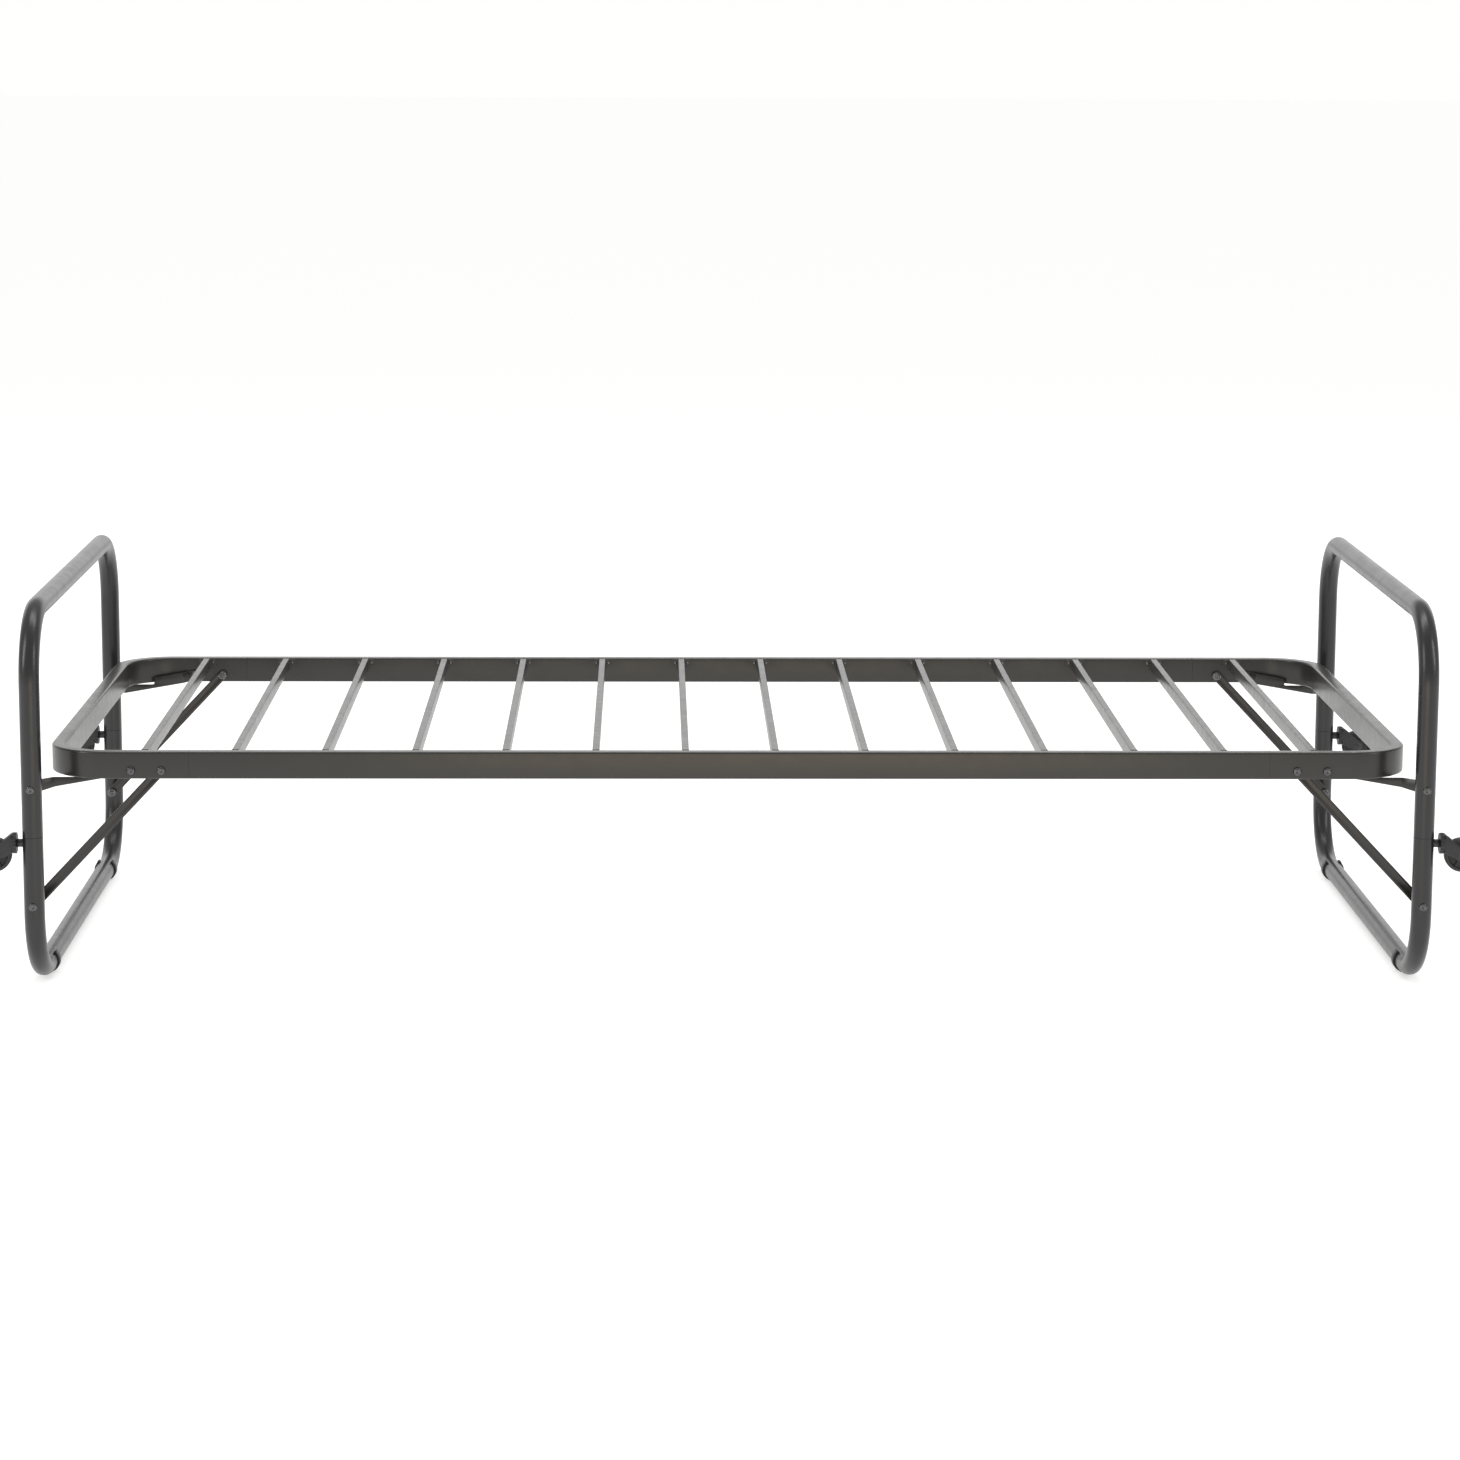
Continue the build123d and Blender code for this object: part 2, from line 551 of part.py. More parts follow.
def castor_stem():
    """The steel stem: riveted inside the sleeve, shouldered outside the leg, with a pin for the fork."""
    inside = LOOP_X + TUBE_RADIUS - TUBE_WALL - SLEEVE_GAP - SLEEVE_WALL
    seat = LOOP_X + sqrt(TUBE_RADIUS**2 - (STEM_DIAMETER / 2) ** 2) - STEM_SEAT_DEPTH
    shoulder = along_x(seat, CASTOR_FACE_X + STEM_LENGTH, CASTOR_Z, STEM_DIAMETER / 2)
    shoulder -= Pos(LOOP_X, LEG_Y, CASTOR_Z) * Cylinder(TUBE_RADIUS, STEM_DIAMETER * 2)
    core_radius = STEM_PIN_DIAMETER / 2 + STEM_CORE_GROWTH
    core = along_x(inside - STEM_CORE_DEPTH, CASTOR_FACE_X + DRILL_OVERRUN, CASTOR_Z, core_radius)
    collar_start = inside - STEM_COLLAR_DEPTH
    collar = along_x(collar_start, collar_start + STEM_COLLAR_LENGTH, CASTOR_Z, STEM_DIAMETER / 2)
    pin_end = CASTOR_FACE_X + STEM_LENGTH + HEAD_DISC_LENGTH + 2 * FACE_GAP
    pin = along_x(CASTOR_FACE_X, pin_end, CASTOR_Z, STEM_PIN_DIAMETER / 2)
    rivet_radius = STEM_PIN_DIAMETER / 2 + PIN_RIVET_GROWTH
    rivet_end = along_x(pin_end, pin_end + PIN_RIVET_LENGTH, CASTOR_Z, rivet_radius)
    return shoulder + core + collar + pin + rivet_end


def ribbed_disc(start_x):
    """The swivel head: a disc with a ribbed edge."""
    disc = along_x(start_x, start_x + HEAD_DISC_LENGTH, CASTOR_Z, HEAD_DISC_DIAMETER / 2)
    disc = chamfer(disc.edges().group_by(Axis.X)[-1], HEAD_DISC_CHAMFER)
    step = 360 / HEAD_RIB_COUNT
    groove_radius = HEAD_DISC_DIAMETER * pi / HEAD_RIB_COUNT / 4
    for n in range(HEAD_RIB_COUNT):
        angle = radians(n * step)
        reach = HEAD_DISC_DIAMETER / 2 + groove_radius - HEAD_RIB_DEPTH
        y = LEG_Y + reach * cos(angle)
        z = CASTOR_Z + reach * sin(angle)
        groove_end = start_x + HEAD_DISC_LENGTH + DRILL_OVERRUN
        disc -= rod((start_x - DRILL_OVERRUN, y, z), (groove_end, y, z), groove_radius)
    return disc


def castor_fork():
    """Swivel head and two arms that slope down to the axle, moulded in one."""
    start_x = CASTOR_FACE_X + STEM_LENGTH + FACE_GAP
    head_end = start_x + HEAD_DISC_LENGTH
    cheek_inner = WHEEL_WIDTH / 2 + CHEEK_GAP
    cheek_outer = cheek_inner + CHEEK_THICK
    boss = Pos(WHEEL_X, WHEEL_Z) * Circle(ARM_BOSS_RADIUS)
    root_middle = (head_end + ARM_ROOT / 2, CASTOR_Z + (ARM_TOP - ARM_BOTTOM) / 2)
    root = Pos(*root_middle) * Rectangle(ARM_ROOT, ARM_TOP + ARM_BOTTOM)
    side_shape = make_face(make_hull(boss.edges() + root.edges()).edges())
    block = extrude(upright(side_shape, LEG_Y + cheek_outer), 2 * cheek_outer)
    well_radius = WHEEL_DIAMETER / 2 + WHEEL_WELL
    block -= across(WHEEL_X, WHEEL_Z, LEG_Y - cheek_inner, LEG_Y + cheek_inner, well_radius)
    fork = block + ribbed_disc(start_x)
    bore = STEM_PIN_DIAMETER / 2 + PIVOT_CLEARANCE
    fork -= along_x(start_x - DRILL_OVERRUN, head_end + DRILL_OVERRUN, CASTOR_Z, bore)
    pocket_radius = STEM_PIN_DIAMETER / 2 + PIN_POCKET_GROWTH
    fork -= along_x(head_end, head_end + PIN_POCKET_DEPTH, CASTOR_Z, pocket_radius)
    start_y = LEG_Y - cheek_outer - DRILL_OVERRUN
    end_y = LEG_Y + cheek_outer + DRILL_OVERRUN
    return fork - across(WHEEL_X, WHEEL_Z, start_y, end_y, AXLE_DIAMETER / 2)


def castor_axle():
    reach = WHEEL_WIDTH / 2 + CHEEK_GAP + CHEEK_THICK
    cap_reach = reach + AXLE_CAP_LENGTH
    cap_radius = AXLE_DIAMETER / 2 + AXLE_CAP_GROWTH
    pin = across(WHEEL_X, WHEEL_Z, LEG_Y - reach, LEG_Y + reach, AXLE_DIAMETER / 2)
    for turn in (-1, 1):
        pin += across(WHEEL_X, WHEEL_Z, LEG_Y + turn * reach, LEG_Y + turn * cap_reach, cap_radius)
    return pin


def castor_wheel():
    """A solid wheel with a rounded tread, a dished web and a hub."""
    half = WHEEL_WIDTH / 2
    radius = WHEEL_DIAMETER / 2
    wheel = across(WHEEL_X, WHEEL_Z, LEG_Y - half, LEG_Y + half, radius)
    wheel = fillet(wheel.edges().filter_by(GeomType.CIRCLE), TREAD_ROUND)
    for turn in (-1, 1):
        dish_from = LEG_Y + turn * WHEEL_WEB / 2
        dish_to = LEG_Y + turn * (half + DRILL_OVERRUN)
        dish = across(WHEEL_X, WHEEL_Z, dish_from, dish_to, radius - RIM_DEPTH)
        dish -= across(WHEEL_X, WHEEL_Z, dish_from, LEG_Y + turn * half, HUB_DIAMETER / 2)
        wheel -= dish
    bore = AXLE_DIAMETER / 2 + PIVOT_CLEARANCE
    start_y = LEG_Y - half - DRILL_OVERRUN
    return wheel - across(WHEEL_X, WHEEL_Z, start_y, LEG_Y + half + DRILL_OVERRUN, bore)


# ---------------------------------------------------------------- the whole frame


def write_platform():
    for name, side in SIDES.items():
        save(f"side_rail_{name}", side_rail(side))
    for name, end in ENDS.items():
        save(f"end_bow_{name}", end_bow(end))
    plates = []
    rivets = []
    for n, x in enumerate(bar_positions(), start=1):
        save(f"cross_bar_{n:02d}", cross_bar(x))
        for side in SIDES.values():
            plates.append(bar_end_plate(x, side))
            for offset in (-RIVET_SPACING / 2, RIVET_SPACING / 2):
                rivets.append(rivet(x + offset, side))
    save("cross_bar_end_plates", *plates)
    save("cross_bar_rivets", *rivets)
    bolts = []
    nuts = []
    for end in ENDS.values():
        for side in SIDES.values():
            for x in (LINK_RAIL_X, BRACE_RAIL_X):
                bolts.append(mirrored(rail_bolt(x), end, side))
                nuts.append(mirrored(lock_nut(x, RAIL_PIVOT_Z, NUT_OUTER_Y), end, side))
    save("rail_pivot_bolts", *bolts)
    save("rail_pivot_nuts", *nuts)


def write_linkage():
    link = upper_link()
    brace = diagonal_brace()
    stud = brace_stud()
    for end_name, end in ENDS.items():
        for side_name, side in SIDES.items():
            save(f"upper_link_{end_name}_{side_name}", mirrored(link, end, side))
            save(f"diagonal_brace_{end_name}_{side_name}", mirrored(brace, end, side))
        save(f"brace_studs_{end_name}", *[mirrored(stud, end, side) for side in SIDES.values()])


def write_loops():
    upper = upper_hoop()
    lower = lower_hoop()
    link_bolt = leg_bolt(LINK_LEG_Z, LINK_NUT_OUTER_Y - NUT_HEIGHT)
    brace_bolt = leg_bolt(BRACE_LEG_Z, STRIP_OUTER_Y + FACE_GAP)
    nut = lock_nut(LOOP_X, LINK_LEG_Z, LINK_NUT_OUTER_Y)
    for name, end in ENDS.items():
        save(f"upper_hoop_{name}", mirrored(upper, end, 1))
        save(f"lower_hoop_{name}", mirrored(lower, end, 1))
        save(f"leg_sleeves_{name}", *[mirrored(sleeve(side), end, 1) for side in SIDES.values()])
        save(f"foot_clips_{name}", *[mirrored(foot_clip(side), end, 1) for side in SIDES.values()])
        bolts = []
        for side in SIDES.values():
            bolts.append(mirrored(link_bolt, end, side))
            bolts.append(mirrored(brace_bolt, end, side))
        save(f"leg_pivot_bolts_{name}", *bolts)
        save(f"link_nuts_{name}", *[mirrored(nut, end, side) for side in SIDES.values()])
        save(f"brace_bushes_{name}", *[mirrored(brace_bush(), end, side) for side in SIDES.values()])
        save(f"castor_stems_{name}", *[mirrored(castor_stem(), end, side) for side in SIDES.values()])


def write_castors():
    fork = castor_fork()
    axle = castor_axle()
    wheel = castor_wheel()
    for end_name, end in ENDS.items():
        for side_name, side in SIDES.items():
            place = f"{end_name}_{side_name}"
            save(f"castor_fork_{place}", mirrored(fork, end, side))
            save(f"castor_axle_{place}", mirrored(axle, end, side))
            save(f"castor_wheel_{place}", mirrored(wheel, end, side))


os.makedirs("parts", exist_ok=True)
write_platform()
write_linkage()
write_loops()
write_castors()
print(f"brace rail pivot at x = {BRACE_RAIL_X:.3f}, link {LINK_LENGTH:.3f}, brace {BRACE_LENGTH:.3f}")
print(f"link swings {LINK_SWING:.3f}, brace swings {BRACE_SWING:.3f}")
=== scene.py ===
# %% [markdown]
# # A folding bed frame, finished around its measured parts
# The bed stands on two round-tube loops. A flat rim with fourteen cross bars hangs between them on folding
# strips. The measured model is loaded first and stays fixed. Every piece made here takes its place from
# that model's boxes and joints, so nothing has to be fitted by eye, and each piece rides on the body that
# really carries it.

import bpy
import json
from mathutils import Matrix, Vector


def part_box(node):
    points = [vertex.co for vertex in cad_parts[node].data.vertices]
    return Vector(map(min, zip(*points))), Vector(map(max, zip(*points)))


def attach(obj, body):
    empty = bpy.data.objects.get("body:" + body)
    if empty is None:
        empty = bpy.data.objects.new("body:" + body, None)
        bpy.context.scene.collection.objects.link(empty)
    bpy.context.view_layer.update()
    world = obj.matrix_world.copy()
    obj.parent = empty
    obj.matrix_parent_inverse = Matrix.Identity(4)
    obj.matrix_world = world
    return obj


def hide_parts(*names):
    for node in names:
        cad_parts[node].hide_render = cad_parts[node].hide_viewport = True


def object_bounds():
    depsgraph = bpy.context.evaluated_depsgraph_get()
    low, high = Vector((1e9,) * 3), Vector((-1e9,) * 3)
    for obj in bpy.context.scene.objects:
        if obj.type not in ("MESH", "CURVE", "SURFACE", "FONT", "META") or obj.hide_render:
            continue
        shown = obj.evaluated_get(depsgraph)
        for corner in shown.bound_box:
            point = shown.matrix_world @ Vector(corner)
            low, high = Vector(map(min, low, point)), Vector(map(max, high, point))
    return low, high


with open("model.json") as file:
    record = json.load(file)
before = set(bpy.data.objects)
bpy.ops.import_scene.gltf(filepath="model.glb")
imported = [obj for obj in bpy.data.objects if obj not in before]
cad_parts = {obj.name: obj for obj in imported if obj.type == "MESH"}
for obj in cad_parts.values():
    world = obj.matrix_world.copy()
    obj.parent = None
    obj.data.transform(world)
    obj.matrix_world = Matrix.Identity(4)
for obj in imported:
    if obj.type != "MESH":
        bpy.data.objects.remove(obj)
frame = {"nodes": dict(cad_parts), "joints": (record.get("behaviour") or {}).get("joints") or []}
cad_low, cad_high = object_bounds()

# %% What the later cells need
import json
from math import asin, cos, hypot, pi, radians, sin, sqrt

import bmesh
import bpy
from mathutils import Quaternion, Vector

MM = 0.001
ENDS = {"left": -1, "right": 1}
SIDES = {"front": -1, "back": 1}
joint_at = {joint["name"]: Vector(joint["pos_m"]) for joint in frame["joints"]}
cad_size = cad_high - cad_low
print("overall size in mm:", [round(side / MM, 1) for side in cad_size])

# %% [markdown]
# ## Camera
# The bed is seen from its long side, a little above the mattress level, through a long lens from more than
# six metres away. A long lens keeps both ends almost square to the view, which is how such a product is
# usually shown. Its focal length follows from how wide the bed appears from that distance.

# %% Camera
CAMERA_AT = Vector((-0.118, -6.375, 1.428))
CAMERA_AIM = Vector((0.01969, 1.0, -0.17534))
CAMERA_ROLL = radians(0.24)
LENS = 101.7
SIGHT_LIMIT = 200
camera = bpy.data.objects.new("camera", bpy.data.cameras.new("camera"))
bpy.context.scene.collection.objects.link(camera)
camera.location = CAMERA_AT
camera_roll = Quaternion((0, 0, 1), CAMERA_ROLL)
camera.rotation_euler = (CAMERA_AIM.to_track_quat("-Z", "Y") @ camera_roll).to_euler()
camera.data.lens = LENS
camera.data.clip_end = SIGHT_LIMIT
bpy.context.scene.camera = camera
bed_middle = (cad_low + cad_high) / 2
print("camera distance to the middle of the bed:", round((CAMERA_AT - bed_middle).length, 2), "m")

# %% [markdown]
# ## Shader building blocks
# A node tree is long-winded to write, so one helper places a node and fills its sockets. A socket value may
# be a plain number or the output of another node. Effects that several finishes share become node groups:
# the grain of a powder coat, a painted highlight along edges, the dust on upward faces and the fine grain
# of moulded plastic.

# %% A helper that places nodes
MIX_FIRST, MIX_SECOND, MIX_RESULT = 6, 7, 2


def place(tree, kind, sockets=None, **settings):
    """Adds a node, sets its options, and links or fills the sockets that are named."""
    made = tree.nodes.new(kind)
    made.location = (190 * len(tree.nodes), 0)
    for key, value in settings.items():
        setattr(made, key, value)
    for key, value in (sockets or {}).items():
        if isinstance(value, bpy.types.NodeSocket):
            tree.links.new(value, made.inputs[key])
        else:
            made.inputs[key].default_value = value
    return made


print("a placed node may take numbers or links")


# %% Groups and the nodes they share
def new_group(name, inputs, outputs):
    """A shader node group with named sockets; returns the tree and the sockets of its input node."""
    tree = bpy.data.node_groups.new(name, "ShaderNodeTree")
    for label, kind, value in inputs:
        socket = tree.interface.new_socket(label, in_out="INPUT", socket_type="NodeSocket" + kind)
        socket.default_value = value
    for label, kind in outputs:
        tree.interface.new_socket(label, in_out="OUTPUT", socket_type="NodeSocket" + kind)
    given = tree.nodes.new("NodeGroupInput")
    return tree, given.outputs


def names(sockets):
    return [socket.name for socket in sockets if socket.name]


def give(tree, **results):
    """Links the results to the group's output sockets."""
    end = tree.nodes.new("NodeGroupOutput")
    for label, socket in results.items():
        tree.links.new(socket, end.inputs[label])


def maths(tree, operation, *values, **settings):
    """One maths node on plain numbers or node outputs."""
    return place(tree, "ShaderNodeMath", dict(enumerate(values)), operation=operation, **settings).outputs[0]


def noise(tree, scale, detail=2.0, roughness=0.5):
    place_at = place(tree, "ShaderNodeTexCoord")
    return place(tree, "ShaderNodeTexNoise", {"Vector": place_at.outputs["Object"], "Scale": scale,
                                              "Detail": detail, "Roughness": roughness}).outputs["Fac"]


def remap(tree, value, low, high, to_low, to_high):
    """Maps the range low..high of a value to another range."""
    sockets = {"Value": value, "From Min": low, "From Max": high, "To Min": to_low, "To Max": to_high}
    return place(tree, "ShaderNodeMapRange", sockets).outputs["Result"]


def mixed(tree, factor, first, second):
    """A colour between two others. The colour sockets of a Mix node are found by number."""
    sockets = {"Factor": factor, MIX_FIRST: first, MIX_SECOND: second}
    return place(tree, "ShaderNodeMix", sockets, data_type="RGBA").outputs[MIX_RESULT]


print("helpers ready")

# %% [markdown]
# ### Powder coat
# Baked powder paint is never quite flat. Up close it has a fine orange peel, a millimetre or so across, and
# over some centimetres its colour and gloss drift a little. Two noises of very different size give both.
# They read Object coordinates, so the pattern belongs to the piece and stays on it when the bed folds.

# %% Powder coat group
NOISE_LOW, NOISE_HIGH = 0.3, 0.7
DRIFT_SCALE, GLOSS_SCALE = 7.0, 55.0
GLOSS_DOWN, GLOSS_UP = 0.02, 0.03
coat, coat_in = new_group(
    "powder coat",
    [("Colour", "Color", (0.02, 0.02, 0.02, 1)), ("Drift", "Float", 0.1), ("Gloss", "Float", 0.3),
     ("Peel Scale", "Float", 700.0)],
    [("Colour", "Color"), ("Roughness", "Float"), ("Height", "Float")])
coat_drift = noise(coat, DRIFT_SCALE, 3.0)
coat_darker = maths(coat, "SUBTRACT", 1.0, coat_in["Drift"])
coat_lighter = maths(coat, "ADD", 1.0, coat_in["Drift"])
coat_shade = remap(coat, coat_drift, NOISE_LOW, NOISE_HIGH, coat_darker, coat_lighter)
coat_colour = place(coat, "ShaderNodeVectorMath", {0: coat_in["Colour"], "Scale": coat_shade},
                    operation="SCALE").outputs[0]
coat_gloss_low = maths(coat, "SUBTRACT", coat_in["Gloss"], GLOSS_DOWN)
coat_gloss_high = maths(coat, "ADD", coat_in["Gloss"], GLOSS_UP)
coat_patch = noise(coat, GLOSS_SCALE, 4.0)
coat_roughness = remap(coat, coat_patch, NOISE_LOW, NOISE_HIGH, coat_gloss_low, coat_gloss_high)
coat_peel = noise(coat, coat_in["Peel Scale"], 1.0)
give(coat, Colour=coat_colour, Roughness=coat_roughness, Height=coat_peel)
print("powder coat inputs:", names(coat_in))

# %% [markdown]
# ### Painted edge highlight and dust
# The coat is new and unworn, but its edges catch the light, so a lighter colour is painted along them in
# patches: a painted highlight. A Bevel node rounds the normal near an edge; where it differs from the true
# normal, there is an edge. Dust is simpler: it lies on faces that look up, in soft patches, and makes them a
# little lighter and duller.

# %% Painted edge highlight group
EDGE_STARTS, EDGE_FULL = 0.995, 0.90
HIGHLIGHT_PATCH_SCALE = 90.0
# The mask marks edges in patches, and the colour mixed in there is a painted highlight, not wear.
painted_highlight, painted_highlight_in = new_group(
    "edge wear",
    [("Width", "Float", 0.0015), ("Strength", "Float", 1.0)],
    [("Mask", "Float")])
highlight_rounded = place(painted_highlight, "ShaderNodeBevel", {"Radius": painted_highlight_in["Width"]}, samples=4)
highlight_true = place(painted_highlight, "ShaderNodeNewGeometry")
highlight_match = place(painted_highlight, "ShaderNodeVectorMath",
                   {0: highlight_rounded.outputs["Normal"], 1: highlight_true.outputs["Normal"]},
                   operation="DOT_PRODUCT")
highlight_edge = remap(painted_highlight, highlight_match.outputs["Value"], EDGE_STARTS, EDGE_FULL, 0.0, painted_highlight_in["Strength"])
highlight_patch = remap(painted_highlight, noise(painted_highlight, HIGHLIGHT_PATCH_SCALE, 4.0), 0.35, 0.65, 0.35, 1.0)
give(painted_highlight, Mask=maths(painted_highlight, "MULTIPLY", highlight_edge, highlight_patch, use_clamp=True))
print("wear inputs:", names(painted_highlight_in))

# %% Dust group
DUST_HOLDS = 0.55
dust, dust_in = new_group(
    "settled dust",
    [("Amount", "Float", 0.2), ("Patch Scale", "Float", 14.0)],
    [("Mask", "Float")])
dust_normal = place(dust, "ShaderNodeNewGeometry").outputs["Normal"]
dust_up = place(dust, "ShaderNodeSeparateXYZ", {"Vector": dust_normal})
dust_lie = remap(dust, dust_up.outputs["Z"], DUST_HOLDS, 1.0, 0.0, dust_in["Amount"])
dust_patch = remap(dust, noise(dust, dust_in["Patch Scale"], 6.0, 0.6), 0.35, 0.7, 0.3, 1.0)
give(dust, Mask=maths(dust, "MULTIPLY", dust_lie, dust_patch, use_clamp=True))
print("dust lies on faces within", round(90 - 180 / pi * asin(DUST_HOLDS)), "degrees of level")

# %% [markdown]
# ### Moulded grain
# Castors and clips come out of a spark-eroded mould, so they carry an even, fine, dull grain.

# %% Moulded grain group
GRAIN_SPREAD = 0.12
grain, grain_in = new_group(
    "moulded grain",
    [("Scale", "Float", 1400.0), ("Gloss", "Float", 0.5)],
    [("Roughness", "Float"), ("Height", "Float")])
grain_fine = noise(grain, grain_in["Scale"], 2.0, 0.6)
grain_gloss = maths(grain, "ADD", grain_in["Gloss"], GRAIN_SPREAD)
grain_roughness = remap(grain, grain_fine, NOISE_LOW, NOISE_HIGH, grain_in["Gloss"], grain_gloss)
give(grain, Roughness=grain_roughness, Height=grain_fine)
print("grain group ready")

# %% [markdown]
# ## Finishes
# The rim, bars and strips share one anthracite coat, and the tubes have the same coat in a slightly darker,
# cooler black. Screws are black zinc, the tube inside each leg is bare, and the castors are nylon on dark
# steel. Each material holds its own shader, and only the groups' colours, masks and values feed it.

# %% Painted steel
DUST_COLOUR = (0.30, 0.29, 0.27, 1)
DUST_DULLS = 0.6
PEEL_SCALE, PEEL_BUMP, PEEL_DEPTH, PAINT_DRIFT = 700.0, 0.10, 0.00006, 0.08


def new_material(name, metallic=0.0, level=0.5):
    material = bpy.data.materials.new(name)
    material.use_nodes = True
    tree = material.node_tree
    shader = tree.nodes["Principled BSDF"]
    shader.inputs["Metallic"].default_value = metallic
    shader.inputs["Specular IOR Level"].default_value = level
    return material, tree, shader


def use_group(tree, group, **values):
    made = place(tree, "ShaderNodeGroup", node_tree=group)
    for label, value in values.items():
        made.inputs[label.replace("_", " ")].default_value = value
    return made.outputs


def finish_shader(tree, shader, colour, roughness, height, bump_strength, bump_depth):
    """Feeds the shader's colour, roughness and normal from node outputs."""
    bump = place(tree, "ShaderNodeBump",
                 {"Strength": bump_strength, "Distance": bump_depth, "Height": height})
    tree.links.new(colour, shader.inputs["Base Color"])
    tree.links.new(roughness, shader.inputs["Roughness"])
    tree.links.new(bump.outputs["Normal"], shader.inputs["Normal"])


def painted(name, colour, highlight_colour, gloss, highlight_width, highlight_strength, dust_amount):
    material, tree, shader = new_material(name)
    skin = use_group(tree, coat, Colour=colour, Drift=PAINT_DRIFT, Gloss=gloss, Peel_Scale=PEEL_SCALE)
    edge = use_group(tree, painted_highlight, Width=highlight_width, Strength=highlight_strength)
    film = use_group(tree, dust, Amount=dust_amount)
    # The lighter colour mixed in along edges is a painted highlight.
    highlighted = mixed(tree, edge["Mask"], skin["Colour"], highlight_colour)
    dusty = mixed(tree, film["Mask"], highlighted, DUST_COLOUR)
    dulled = maths(tree, "MULTIPLY_ADD", film["Mask"], DUST_DULLS, skin["Roughness"])
    finish_shader(tree, shader, dusty, dulled, skin["Height"], PEEL_BUMP, PEEL_DEPTH)
    return material


# The second colour of each coat is its painted edge highlight.
rim_coat = painted("rim_powder_coat", (0.020, 0.019, 0.017, 1), (0.070, 0.067, 0.062, 1),
                   gloss=0.30, highlight_width=0.0012, highlight_strength=0.5, dust_amount=0.05)
tube_coat = painted("tube_powder_coat", (0.014, 0.014, 0.015, 1), (0.045, 0.045, 0.045, 1),
                    gloss=0.30, highlight_width=0.0010, highlight_strength=0.2, dust_amount=0.02)
print("painted:", rim_coat.name, tube_coat.name)

# %% Screws and bare steel
PLATING_DRIFT, PLATING_SCALE, PLATING_HIGHLIGHT_WIDTH = 0.2, 1600.0, 0.0006
PLATING_BUMP, PLATING_DEPTH = 0.08, 0.0002


def plated(name, colour, highlight_colour, gloss, metallic, highlight_strength):
    material, tree, shader = new_material(name, metallic)
    skin = use_group(tree, coat, Colour=colour, Drift=PLATING_DRIFT, Gloss=gloss, Peel_Scale=PLATING_SCALE)
    edge = use_group(tree, painted_highlight, Width=PLATING_HIGHLIGHT_WIDTH, Strength=highlight_strength)
    # The lighter colour mixed in along edges is a painted highlight.
    highlighted = mixed(tree, edge["Mask"], skin["Colour"], highlight_colour)
    finish_shader(tree, shader, highlighted, skin["Roughness"], skin["Height"], PLATING_BUMP, PLATING_DEPTH)
    return material


# The second colour of each metal is its painted edge highlight, such as the light rims of the screw heads.
black_zinc = plated("black_zinc", (0.105, 0.105, 0.11, 1), (0.45, 0.45, 0.46, 1), 0.24, 1.0, 1.0)
castor_oxide = plated("castor_oxide", (0.045, 0.045, 0.047, 1), (0.22, 0.22, 0.22, 1), 0.38, 0.7, 0.7)
drawn_steel = plated("drawn_steel", (0.50, 0.50, 0.51, 1), (0.62, 0.62, 0.62, 1), 0.36, 1.0, 0.3)
print("metals:", black_zinc.name, castor_oxide.name, drawn_steel.name)

# %% Moulded nylon
NYLON_HIGHLIGHT_WIDTH, NYLON_HIGHLIGHT, NYLON_DUST_SCALE, NYLON_DEPTH = 0.0008, 0.35, 60.0, 0.0003


def moulded(name, colour, highlight_colour, gloss, bump_strength, dust_amount):
    material, tree, shader = new_material(name)
    skin = use_group(tree, grain, Gloss=gloss)
    edge = use_group(tree, painted_highlight, Width=NYLON_HIGHLIGHT_WIDTH, Strength=NYLON_HIGHLIGHT)
    film = use_group(tree, dust, Amount=dust_amount, Patch_Scale=NYLON_DUST_SCALE)
    # The lighter colour mixed in along edges is a painted highlight; the dust is real.
    dusty = mixed(tree, film["Mask"], mixed(tree, edge["Mask"], colour, highlight_colour), DUST_COLOUR)
    finish_shader(tree, shader, dusty, skin["Roughness"], skin["Height"], bump_strength, NYLON_DEPTH)
    return material


# The second colour of each nylon is its painted edge highlight.
clip_nylon = moulded("clip_nylon", (0.014, 0.014, 0.015, 1), (0.05, 0.05, 0.05, 1), 0.42, 0.25, 0.04)
wheel_nylon = moulded("wheel_nylon", (0.017, 0.017, 0.018, 1), (0.06, 0.06, 0.06, 1), 0.46, 0.35, 0.08)
finish_of = {"frame_paint": rim_coat, "tube_paint": tube_coat, "dark_fastener": black_zinc,
             "bare_steel": drawn_steel, "castor_steel": castor_oxide, "black_plastic": clip_nylon,
             "castor_tread": wheel_nylon}
print("finishes by slot:", sorted(finish_of))

# %% [markdown]
# ## Small tools for pieces
# Every finished piece goes through the same last steps: doubles merged, normals turned outwards, smooth
# shading with sharp edges kept, and the one material of its slot; then it is hung from its body, and the
# measured node that it stands for is hidden.

# %% Finishing and settling a piece
SHARP = radians(32)
MERGE = 0.01 * MM


def new_object(name, mesh):
    made = bpy.data.objects.new(name, mesh)
    bpy.context.scene.collection.objects.link(made)
    return made


def mesh_object(name, points, faces):
    mesh = bpy.data.meshes.new(name)
    mesh.from_pydata([tuple(point) for point in points], [], faces)
    return new_object(name, mesh)


